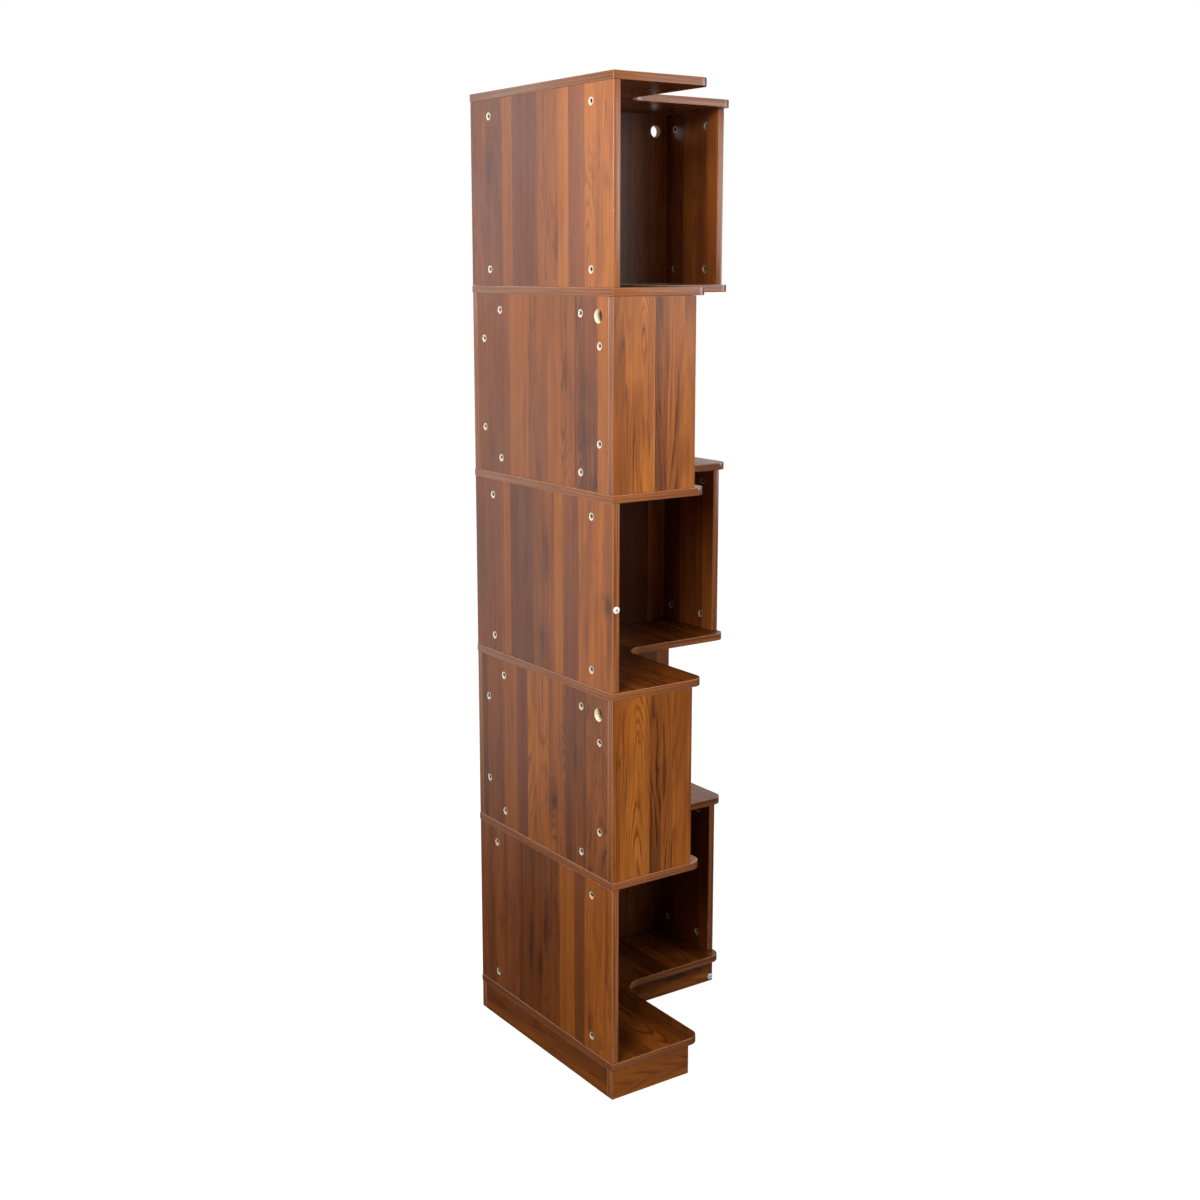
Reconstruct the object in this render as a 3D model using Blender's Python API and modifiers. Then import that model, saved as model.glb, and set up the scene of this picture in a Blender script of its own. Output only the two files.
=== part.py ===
"""Corner bookcase: five tiers on a plinth, two wings in an L, flat boards held by cam fittings.

Run with blender --background --python part.py. Units are metres and +Z is up. The room's
corner is at -X, +Y: the left wing stands against the wall at -X, the right wing against the
wall at +Y. The origin is on the floor, in the middle of the rectangle that the bookcase spans.
"""

import math

import bmesh
import bpy
from mathutils import Matrix, Vector

# Whole bookcase
TIERS = 5
LEFT_WING_LENGTH = 0.500  # along its wall, from the room's corner to the free end
RIGHT_WING_LENGTH = 0.500
WING_DEPTH = 0.220  # of a shelf, from the wall to its front edge
TIER_HEIGHT = 0.360  # free height between two shelves
PLINTH_HEIGHT = 0.060
END_CORNER_RADIUS = 0.025  # front corner of a shelf at each free end
INNER_CORNER_RADIUS = 0.050  # fillet where the two front edges meet

# Boards
SHELF_THICKNESS = 0.015
PANEL_THICKNESS = 0.015
PLINTH_THICKNESS = 0.015
REVEAL = 0.001  # how far uprights and plinth stand in from the shelves' outer edges
FRONT_SETBACK = 0.030  # how far end panels and plinth stand back from the shelves' front edge
JOINT_GAP = 0.0003  # between boards that touch

# Cable hole in each short wall panel
CABLE_HOLE_DIAMETER = 0.026
CABLE_HOLE_END_INSET = 0.032
CABLE_HOLE_TOP_INSET = 0.036

# Cam fitting: a cam in a pocket of one board grips the head of a bolt screwed into the other
CAM_DIAMETER = 0.015
CAM_SETBACK = 0.032  # cam's centre to the panel's top or bottom edge
SIDE_CAM_SETBACK = 0.028  # cam's centre to the upright edge, where two panels meet in a corner
CAM_SINK = 0.0006  # cam's face below the board's face
POCKET_FLOOR = 0.0020  # board left under a cam's pocket
FIT_CLEARANCE = 0.0003
CAM_CAP = 0.0030  # solid top of a cam, over the mouth that takes the bolt's head
CAM_GRIP = 0.0010  # how far the mouth runs past the front of the head that the cam's jaws hold
BOLT_DIAMETER = 0.0050
BOLT_HEAD_DIAMETER = 0.0068
BOLT_HEAD_LENGTH = 0.0030
BOLT_BORE_DIAMETER = 0.0078
THREAD_DEPTH = 0.0105  # bolt's grip in the board that it is screwed into

# Where the cams sit on each kind of board, from that board's own ends
LONG_PANEL_CAM_INSET = 0.070
SHORT_PANEL_CAM_INSET = 0.090
END_PANEL_CAM_INSET = 0.040
SIDE_CAM_HEIGHT_INSET = 0.090

# White nail-in glides, on the front edges of two boards
GLIDE_DIAMETER = 0.0140
GLIDE_THICKNESS = 0.0030
GLIDE_CROWN_RADIUS = 0.0050  # flat middle of the glide's face
GLIDE_RIM = 0.0018  # height of its upright edge
NAIL_DIAMETER = 0.0020
NAIL_LENGTH = 0.0120
GLIDE_TIER = 3
GLIDE_ABOVE_SHELF = 0.160
GLIDE_ABOVE_FLOOR = 0.011

# Facets and cutting
CUT_OVERRUN = 0.002
FUSE_OVERLAP = 0.0008  # how far a fused cam's foot goes into its pocket's floor
END_CORNER_STEPS = 6
INNER_CORNER_STEPS = 8
CABLE_HOLE_SIDES = 16
CAM_SIDES = 8
BOLT_SIDES = 6
GLIDE_SIDES = 12
WELD_DISTANCE = 0.00001

UP = Vector((0, 0, 1))
GLIDE_PROUD = max(0.0, JOINT_GAP + GLIDE_THICKNESS - REVEAL)  # past the shelves' ends
CORNER = Vector((-RIGHT_WING_LENGTH / 2, (LEFT_WING_LENGTH + GLIDE_PROUD) / 2, 0))
PANEL_FRONT = WING_DEPTH - FRONT_SETBACK
TIER_PITCH = TIER_HEIGHT + SHELF_THICKNESS
POCKET_CLEARANCE = FIT_CLEARANCE / math.cos(math.pi / CAM_SIDES)
BOLT_CLEARANCE = FIT_CLEARANCE / math.cos(math.pi / BOLT_SIDES)

WALNUT = ("walnut_laminate", (0.262, 0.108, 0.048), 0.42, 0.0)
EDGING = ("walnut_shelf_board", (0.230, 0.098, 0.047), 0.45, 0.0)
ZINC = ("zinc_cam", (0.78, 0.74, 0.68), 0.38, 0.85)
WHITE_PLASTIC = ("white_plastic_glide", (0.86, 0.86, 0.84), 0.40, 0.0)


class Wing:
    """One arm of the L, with its own two directions: along its wall and out into the room."""

    def __init__(self, name, along, out, length):
        self.name = name
        self.along = Vector(along)
        self.out = Vector(out)
        self.length = length

    def point(self, along, out, height=0.0):
        return CORNER + self.along * along + self.out * out + UP * height


LEFT = Wing("left", (0, -1, 0), (1, 0, 0), LEFT_WING_LENGTH)
RIGHT = Wing("right", (1, 0, 0), (0, -1, 0), RIGHT_WING_LENGTH)


def shelf_underside(level):
    """Height of a shelf's underside; level 0 is the base shelf on the plinth."""
    return PLINTH_HEIGHT + level * TIER_PITCH


def shelf_top(level):
    return shelf_underside(level) + SHELF_THICKNESS


# Objects and meshes


def clear_scene():
    for obj in list(bpy.data.objects):
        bpy.data.objects.remove(obj, do_unlink=True)


def new_collection(name):
    collection = bpy.data.collections.new(name)
    bpy.context.scene.collection.children.link(collection)
    return collection


def material(recipe):
    """The Principled BSDF for a recipe of name, colour, roughness and metallic, made once."""
    name, colour, roughness, metallic = recipe
    made = bpy.data.materials.get(name)
    if made is None:
        made = bpy.data.materials.new(name)
        made.use_nodes = True
        shader = made.node_tree.nodes["Principled BSDF"]
        shader.inputs["Base Color"].default_value = (*colour, 1.0)
        shader.inputs["Roughness"].default_value = roughness
        shader.inputs["Metallic"].default_value = metallic
    return made


def new_object(name, mesh, collection, recipe=None):
    obj = bpy.data.objects.new(name, mesh)
    collection.objects.link(obj)
    if recipe is not None:
        mesh.materials.clear()
        mesh.materials.append(material(recipe))
    if collection == CUTTERS:
        obj.hide_render = True
        obj.display_type = "WIRE"
    return obj


def baked_mesh(obj, name):
    """The object's evaluated shape as a welded mesh of its own. The object is removed."""
    bpy.context.view_layer.update()
    graph = bpy.context.evaluated_depsgraph_get()
    mesh = bpy.data.meshes.new_from_object(obj.evaluated_get(graph))
    mesh.name = name
    bm = bmesh.new()
    bm.from_mesh(mesh)
    bmesh.ops.remove_doubles(bm, verts=bm.verts, dist=WELD_DISTANCE)
    bm.to_mesh(mesh)
    bm.free()
    bpy.data.objects.remove(obj, do_unlink=True)
    return mesh


def boolean(obj, other, operation):
    modifier = obj.modifiers.new(f"{operation.lower()} {other.name}", "BOOLEAN")
    modifier.operation = operation
    modifier.object = other
    modifier.solver = "EXACT"


# Basic shapes


def box_mesh(name, size):
    bm = bmesh.new()
    bmesh.ops.create_cube(bm, size=1.0, matrix=Matrix.Diagonal((*size, 1.0)))
    mesh = bpy.data.meshes.new(name)
    bm.to_mesh(mesh)
    bm.free()
    return mesh


def rod_mesh(name, radius, start, end, axis, sides):
    """A round rod about the X or Z axis, from start to end along it, with a flat facing each way."""
    flat_turn = Matrix.Rotation(math.pi / sides, 4, "Z")
    lay = Matrix.Rotation(math.pi / 2, 4, "Y") if axis == "X" else Matrix.Identity(4)
    middle = Vector(((start + end) / 2, 0, 0) if axis == "X" else (0, 0, (start + end) / 2))
    bm = bmesh.new()
    bmesh.ops.create_cone(
        bm,
        cap_ends=True,
        segments=sides,
        radius1=radius,
        radius2=radius,
        depth=end - start,
        matrix=Matrix.Translation(middle) @ lay @ flat_turn,
    )
    mesh = bpy.data.meshes.new(name)
    bm.to_mesh(mesh)
    bm.free()
    return mesh


def turned_mesh(name, profile, sides):
    """A turned shape about Z, from a profile of (radius, height) that runs from its top down."""
    mesh = bpy.data.meshes.new(name)
    points = [(radius, 0, height) for radius, height in profile]
    mesh.from_pydata(points, [(i, i + 1) for i in range(len(points) - 1)], [])
    obj = new_object(name, mesh, CUTTERS)
    screw = obj.modifiers.new("turn", "SCREW")
    screw.axis = "Z"
    screw.steps = sides
    screw.render_steps = sides
    screw.use_merge_vertices = True
    screw.merge_threshold = WELD_DISTANCE
    return baked_mesh(obj, name)


def rounded_outline(corners):
    """Points of a right-angled outline. Each corner is (point, radius, steps); arcs take r(1-cos) and r(1-sin)."""
    points = []
    for index, (corner, radius, steps) in enumerate(corners):
        if radius == 0:
            points.append(corner)
            continue
        to_previous = (corners[index - 1][0] - corner).normalized()
        to_next = (corners[(index + 1) % len(corners)][0] - corner).normalized()
        centre = corner + (to_previous + to_next) * radius
        for step in range(steps + 1):
            turn = math.pi / 2 * step / steps
            points.append(centre - (to_next * math.cos(turn) + to_previous * math.sin(turn)) * radius)
    return points


def flat_board_mesh(name, outline, thickness):
    """A board of that outline, with its middle plane at height 0."""
    curve = bpy.data.curves.new(name, "CURVE")
    curve.dimensions = "2D"
    curve.fill_mode = "BOTH"
    curve.extrude = thickness / 2
    spline = curve.splines.new("POLY")
    spline.points.add(len(outline) - 1)
    for place, point in zip(spline.points, outline):
        place.co = (point.x, point.y, 0, 1)
    spline.use_cyclic_u = True
    return baked_mesh(new_object(name, curve, CUTTERS), name)


def placed_copies(name, placements, collection):
    """One object that holds a copy of each (mesh, matrix), as separate bodies."""
    bm = bmesh.new()
    for mesh, matrix in placements:
        copy = mesh.copy()
        copy.transform(matrix)
        bm.from_mesh(copy)
        bpy.data.meshes.remove(copy)
    joined = bpy.data.meshes.new(name)
    bm.to_mesh(joined)
    bm.free()
    return new_object(name, joined, collection)


# Boards


def box_board(name, wing, along, out, height, recipe=WALNUT):
    """A straight board. Each of along, out and height is its (start, end) in the wing's directions."""
    low = wing.point(along[0], out[0], height[0])
    high = wing.point(along[1], out[1], height[1])
    size = [abs(span) for span in high - low]
    obj = new_object(name, box_mesh(name, size), BOARDS, recipe)
    obj.location = (low + high) / 2
    return obj


def shelf_board(name, level):
    corners = [
        (CORNER, 0, 0),
        (LEFT.point(LEFT.length, 0), 0, 0),
        (LEFT.point(LEFT.length, WING_DEPTH), END_CORNER_RADIUS, END_CORNER_STEPS),
        (LEFT.point(WING_DEPTH, WING_DEPTH), INNER_CORNER_RADIUS, INNER_CORNER_STEPS),
        (RIGHT.point(RIGHT.length, WING_DEPTH), END_CORNER_RADIUS, END_CORNER_STEPS),
        (RIGHT.point(RIGHT.length, 0), 0, 0),
    ]
    mesh = flat_board_mesh(name, rounded_outline(corners), SHELF_THICKNESS)
    obj = new_object(name, mesh, BOARDS, EDGING)
    obj.location = UP * (shelf_underside(level) + SHELF_THICKNESS / 2)
    return obj


# Cam fitting, in its own frame: +X along the bolt, +Z out of the board's face, origin on that
# face over the cam's centre


def bolt_depth(thickness):
    """Height of the bolt's axis: the middle of the board that holds the cam."""
    return -thickness / 2


def cam_foot(thickness):
    return -(thickness - POCKET_FLOOR - FIT_CLEARANCE)


def bolt_head_front():
    """Where the head meets the shank, from the cam's centre: one head's length inside its wall."""
    return CAM_DIAMETER / 2 - BOLT_HEAD_LENGTH


def bolt_mesh(name, setback, thickness):
    """A bolt along X whose head widens towards its end, inside the cam."""
    head_front = bolt_head_front()
    tip = setback + JOINT_GAP + THREAD_DEPTH
    profile = [
        (0, tip),
        (BOLT_DIAMETER / 2, tip),
        (BOLT_DIAMETER / 2, head_front),
        (BOLT_HEAD_DIAMETER / 2, head_front - BOLT_HEAD_LENGTH),
        (0, head_front - BOLT_HEAD_LENGTH),
    ]
    mesh = turned_mesh(name, profile, BOLT_SIDES)
    lay_along_x = Matrix.Rotation(math.pi / 2, 4, "Y")
    mesh.transform(Matrix.Translation((0, 0, bolt_depth(thickness))) @ lay_along_x)
    return mesh


def cam_object(name, foot):
    """A cam with a mouth in one side, as wide as the bolt's shank, so that its jaws hold the head."""
    cam = new_object(
        name,
        rod_mesh(name, CAM_DIAMETER / 2, foot, -CAM_SINK, "Z", CAM_SIDES),
        CUTTERS,
    )
    mouth_width = BOLT_DIAMETER + 2 * BOLT_CLEARANCE
    mouth_top = -CAM_SINK - CAM_CAP
    mouth_start = bolt_head_front() - CAM_GRIP
    mouth_length = CAM_DIAMETER / 2 + CUT_OVERRUN - mouth_start
    mouth_height = mouth_top - foot + CUT_OVERRUN
    mouth = new_object(
        "cam_mouth", box_mesh("cam_mouth", (mouth_length, mouth_width, mouth_height)), CUTTERS
    )
    mouth.location = (mouth_start + mouth_length / 2, 0, mouth_top - mouth_height / 2)
    boolean(cam, mouth, "DIFFERENCE")
    return cam


def fitting_mesh(name, setback, thickness):
    """A locked fitting: the cam, and the bolt whose head its jaws hold."""
    cam = cam_object(name, cam_foot(thickness))
    bolt = new_object("bolt", bolt_mesh("bolt", setback, thickness), CUTTERS)
    boolean(cam, bolt, "UNION")
    return baked_mesh(cam, name)


def fused_fitting_mesh(name, setback, thickness):
    """The same fitting where it is one with its board: a plain cam with its foot in the pocket's floor."""
    foot = -(thickness - POCKET_FLOOR + FUSE_OVERLAP)
    cam = new_object(
        name,
        rod_mesh(name, CAM_DIAMETER / 2, foot, -CAM_SINK, "Z", CAM_SIDES),
        CUTTERS,
    )
    bolt = new_object("bolt", bolt_mesh("bolt", setback, thickness), CUTTERS)
    boolean(cam, bolt, "UNION")
    return baked_mesh(cam, name)


def pocket_mesh(name, setback, thickness):
    """What is cut from the cam's board: the round pocket, and the bore from it to the board's edge."""
    pocket = new_object(
        name,
        rod_mesh(
            name,
            CAM_DIAMETER / 2 + POCKET_CLEARANCE,
            -(thickness - POCKET_FLOOR),
            CUT_OVERRUN,
            "Z",
            CAM_SIDES,
        ),
        CUTTERS,
    )
    bore = new_object(
        "bore",
        rod_mesh("bore", BOLT_BORE_DIAMETER / 2, 0, setback + CUT_OVERRUN, "X", BOLT_SIDES),
        CUTTERS,
    )
    bore.location = (0, 0, bolt_depth(thickness))
    boolean(pocket, bore, "UNION")
    return baked_mesh(pocket, name)


def thread_hole_mesh(name, setback, thickness):
    """What is cut from the bolt's board: the hole that the bolt is screwed into."""
    mesh = rod_mesh(
        name,
        BOLT_DIAMETER / 2 + BOLT_CLEARANCE,
        setback - CUT_OVERRUN,
        setback + JOINT_GAP + THREAD_DEPTH + FIT_CLEARANCE,
        "X",
        BOLT_SIDES,
    )
    mesh.transform(Matrix.Translation((0, 0, bolt_depth(thickness))))
    return mesh


class Pattern:
    """The shapes of a cam fitting for one distance of the cam from its board's edge."""

    def __init__(self, name, setback, thickness):
        self.setback = setback
        self.whole = fitting_mesh(f"{name}_fitting", setback, thickness)
        self.fused = fused_fitting_mesh(f"{name}_fused_fitting", setback, thickness)
        self.pocket = pocket_mesh(f"{name}_pocket", setback, thickness)
        self.thread_hole = thread_hole_mesh(f"{name}_thread_hole", setback, thickness)


class Joinery:
    """Collects what is cut from each board and fused to it, then applies it all at once."""

    def __init__(self):
        self.cuts = {}
        self.fused = {}

    def cut(self, board, mesh, matrix):
        self.cuts.setdefault(board.name, []).append((mesh, matrix))

    def fasten(self, pattern, board, mate, place, face, bolt, name=None):
        """A fitting whose cam is on board's face at place, and whose bolt runs into mate."""
        matrix = Matrix((bolt, face.cross(bolt), face)).transposed().to_4x4()
        matrix.translation = place
        self.cut(board, pattern.pocket, matrix)
        self.cut(mate, pattern.thread_hole, matrix)
        if name is None:
            self.fused.setdefault(board.name, []).append((pattern.fused, matrix))
            return
        fitting = new_object(name, pattern.whole, FITTINGS)
        pattern.whole.materials.clear()
        pattern.whole.materials.append(material(ZINC))
        fitting.matrix_world = matrix

    def apply(self):
        for board_name, placements in self.cuts.items():
            cutter = placed_copies(f"{board_name}_cuts", placements, CUTTERS)
            boolean(bpy.data.objects[board_name], cutter, "DIFFERENCE")
        for board_name, placements in self.fused.items():
            joined = placed_copies(f"{board_name}_fittings", placements, CUTTERS)
            boolean(bpy.data.objects[board_name], joined, "UNION")


# Assembly


def wall_panel(wing, tier, along):
    """An upright against the wing's wall, from a shelf's top to the next shelf's underside."""
    return box_board(
        f"{wing.name}_wall_panel_{tier}",
        wing,
        along,
        (REVEAL, REVEAL + PANEL_THICKNESS),
        (shelf_top(tier - 1) + JOINT_GAP, shelf_underside(tier) - JOINT_GAP),
    )


def fasten_upright(joinery, pattern, panel, shelves, places, face, names=None):
    """Cams near the top and the bottom edge at each place, a point on the panel's face at height 0."""
    below, above = shelves
    half_height = panel.dimensions.z / 2
    for index, place in enumerate(places):
        for end, mate, bolt in (("top", above, UP), ("bottom", below, -UP)):
            height = panel.location.z + bolt.z * (half_height - pattern.setback)
            joinery.fasten(
                pattern,
                panel,
                mate,
                place + UP * height,
                face,
                bolt,
                f"{names}_{end}_{index + 1}" if names else None,
            )


def tier(joinery, patterns, number, shelves):
    """The uprights between two shelves. Odd tiers close the right wing's end, even tiers the left's."""
    closed, long_wing = (RIGHT, LEFT) if number % 2 else (LEFT, RIGHT)
    upright, side = patterns
    long_span = (REVEAL, long_wing.length - REVEAL)
    end_inner = closed.length - REVEAL - PANEL_THICKNESS
    short_span = (REVEAL + PANEL_THICKNESS + JOINT_GAP, end_inner - JOINT_GAP)
    long_panel = wall_panel(long_wing, number, long_span)
    short_panel = wall_panel(closed, number, short_span)
    low = shelf_top(number - 1) + JOINT_GAP
    high = shelf_underside(number) - JOINT_GAP
    end_panel = box_board(
        f"{closed.name}_end_panel_{number}",
        closed,
        (end_inner, end_inner + PANEL_THICKNESS),
        (REVEAL, PANEL_FRONT),
        (low, high),
    )
    bpy.context.view_layer.update()
    for wing, panel, span, inset in (
        (long_wing, long_panel, long_span, LONG_PANEL_CAM_INSET),
        (closed, short_panel, short_span, SHORT_PANEL_CAM_INSET),
    ):
        names = f"cam_fitting_{number}" if wing is LEFT else None
        places = [wing.point(along, REVEAL) for along in (span[0] + inset, span[1] - inset)]
        fasten_upright(joinery, upright, panel, shelves, places, -wing.out, names)
    end_places = [
        closed.point(end_inner, out)
        for out in (REVEAL + END_PANEL_CAM_INSET, PANEL_FRONT - END_PANEL_CAM_INSET)
    ]
    fasten_upright(joinery, upright, end_panel, shelves, end_places, -closed.along)
    for spot, along, bolt, mate in (
        ("end", short_span[1] - SIDE_CAM_SETBACK, closed.along, end_panel),
        ("corner", short_span[0] + SIDE_CAM_SETBACK, -closed.along, long_panel),
    ):
        for level, height in (
            ("upper", high - SIDE_CAM_HEIGHT_INSET),
            ("lower", low + SIDE_CAM_HEIGHT_INSET),
        ):
            name = f"cam_fitting_{number}_{spot}_{level}" if closed is LEFT else None
            place = closed.point(along, REVEAL, height)
            joinery.fasten(side, short_panel, mate, place, -closed.out, bolt, name)
    hole = rod_mesh(
        "cable_hole",
        CABLE_HOLE_DIAMETER / 2,
        -PANEL_THICKNESS - CUT_OVERRUN,
        CUT_OVERRUN,
        "Z",
        CABLE_HOLE_SIDES,
    )
    matrix = Matrix((closed.along, -closed.out.cross(closed.along), -closed.out)).transposed().to_4x4()
    matrix.translation = closed.point(
        short_span[1] - CABLE_HOLE_END_INSET, REVEAL, high - CABLE_HOLE_TOP_INSET
    )
    joinery.cut(short_panel, hole, matrix)
    return long_panel


def plinth():
    """Six boards on edge under the base shelf, set back like the uprights. It returns the last one."""
    height = (0, PLINTH_HEIGHT - JOINT_GAP)
    wall_faces = (REVEAL, REVEAL + PLINTH_THICKNESS)
    front_faces = (PANEL_FRONT - PLINTH_THICKNESS, PANEL_FRONT)
    for wing in (LEFT, RIGHT):
        end_inner = wing.length - REVEAL - PLINTH_THICKNESS
        wall_start = wall_faces[1] + JOINT_GAP if wing is LEFT else REVEAL
        front_start = front_faces[1] + JOINT_GAP if wing is LEFT else front_faces[0]
        long_end = end_inner - JOINT_GAP
        box_board(f"{wing.name}_wall_plinth", wing, (wall_start, long_end), wall_faces, height)
        box_board(f"{wing.name}_front_plinth", wing, (front_start, long_end), front_faces, height)
        end_board = box_board(
            f"{wing.name}_end_plinth",
            wing,
            (end_inner, end_inner + PLINTH_THICKNESS),
            (REVEAL, PANEL_FRONT),
            height,
        )
    return end_board


def glide_mesh():
    """A white disc with a crowned face and a nail, about Z, with the disc's back at height 0."""
    profile = [
        (0, GLIDE_THICKNESS),
        (GLIDE_CROWN_RADIUS, GLIDE_THICKNESS),
        (GLIDE_DIAMETER / 2, GLIDE_RIM),
        (GLIDE_DIAMETER / 2, 0),
        (NAIL_DIAMETER / 2, 0),
        (NAIL_DIAMETER / 2, -NAIL_LENGTH),
        (0, -NAIL_LENGTH),
    ]
    return turned_mesh("nail_glide", profile, GLIDE_SIDES)


def glide(joinery, name, mesh, hole, board, place, face):
    """A glide nailed into a board's edge at place, on the side that face points to."""
    turn = face.to_track_quat("Z", "Y").to_matrix().to_4x4()
    obj = new_object(name, mesh, FITTINGS)
    obj.matrix_world = Matrix.Translation(place + face * JOINT_GAP) @ turn
    joinery.cut(board, hole, Matrix.Translation(place) @ turn)


def glides(joinery, panel, end_plinth):
    mesh = glide_mesh()
    mesh.materials.append(material(WHITE_PLASTIC))
    hole = rod_mesh(
        "nail_hole",
        NAIL_DIAMETER / 2 + BOLT_CLEARANCE,
        -NAIL_LENGTH - FIT_CLEARANCE,
        CUT_OVERRUN,
        "Z",
        BOLT_SIDES,
    )
    panel_edge = LEFT.point(
        LEFT.length - REVEAL,
        REVEAL + PANEL_THICKNESS / 2,
        shelf_top(GLIDE_TIER - 1) + GLIDE_ABOVE_SHELF,
    )
    glide(joinery, "panel_edge_glide", mesh, hole, panel, panel_edge, LEFT.along)
    plinth_edge = RIGHT.point(
        RIGHT.length - REVEAL - PLINTH_THICKNESS / 2, PANEL_FRONT, GLIDE_ABOVE_FLOOR
    )
    glide(joinery, "plinth_edge_glide", mesh, hole, end_plinth, plinth_edge, RIGHT.out)


def bookcase():
    joinery = Joinery()
    upright = Pattern("upright", CAM_SETBACK, PANEL_THICKNESS)
    side = Pattern("side", SIDE_CAM_SETBACK, PANEL_THICKNESS)
    names = ["base_shelf", *(f"shelf_{level + 1}" for level in range(1, TIERS)), "top_shelf"]
    shelves = [shelf_board(name, level) for level, name in enumerate(names)]
    long_panels = {
        number: tier(joinery, (upright, side), number, shelves[number - 1 : number + 1])
        for number in range(1, TIERS + 1)
    }
    end_plinth = plinth()
    glides(joinery, long_panels[GLIDE_TIER], end_plinth)
    joinery.apply()


clear_scene()
BOARDS = new_collection("corner_bookcase")
FITTINGS = new_collection("fittings")
CUTTERS = new_collection("cutters")
bookcase()
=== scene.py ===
"""Looks of a tall corner bookcase in walnut laminate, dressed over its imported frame.

The bookcase is an L of two wings against two walls. Flat boards carry everything: six shelves,
uprights that alternate from tier to tier, and a plinth, held by zinc cams in round pockets.
Lengths are in metres, +Z is up and the room's corner is at -X, +Y.
"""

import logging
import math
from dataclasses import dataclass, field
from enum import Enum

import bpy
import numpy as np
from bpy.types import Material, Node, NodeSocket, NodeTree, Object
from mathutils import Matrix, Vector, geometry


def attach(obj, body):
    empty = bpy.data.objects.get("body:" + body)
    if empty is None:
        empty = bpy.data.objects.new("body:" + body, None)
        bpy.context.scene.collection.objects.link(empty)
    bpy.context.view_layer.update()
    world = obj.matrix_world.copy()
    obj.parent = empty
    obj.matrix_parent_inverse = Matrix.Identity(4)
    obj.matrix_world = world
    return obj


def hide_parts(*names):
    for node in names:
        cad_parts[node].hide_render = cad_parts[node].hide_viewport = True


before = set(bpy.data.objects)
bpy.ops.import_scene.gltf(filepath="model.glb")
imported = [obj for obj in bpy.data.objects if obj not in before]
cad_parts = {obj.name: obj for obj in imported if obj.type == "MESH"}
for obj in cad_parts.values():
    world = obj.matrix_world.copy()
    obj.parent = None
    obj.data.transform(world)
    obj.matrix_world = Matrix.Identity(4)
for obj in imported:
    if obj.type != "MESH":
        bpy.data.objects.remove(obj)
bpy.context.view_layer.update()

LOG = logging.getLogger("corner_bookcase")
UV_NAME = "laminate"
UP = Vector((0.0, 0.0, 1.0))
CORNER = Vector((-0.25, 0.25115, 0.0))
MILLIMETRES = 1000.0
RIGHT_ANGLE = math.pi / 2.0
FULL_TURN = 2.0 * math.pi
Triple = tuple[float, float, float]


class Grain(Enum):
    """Which way the walnut print runs on a board."""

    UPRIGHT = "upright"
    LENGTHWISE = "lengthwise"


class Side(Enum):
    """Which face of a board a pocket is sunk in; the front is the one its normal leaves."""

    FRONT = 1
    BACK = -1
    THROUGH = 0


# Node trees


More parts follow.
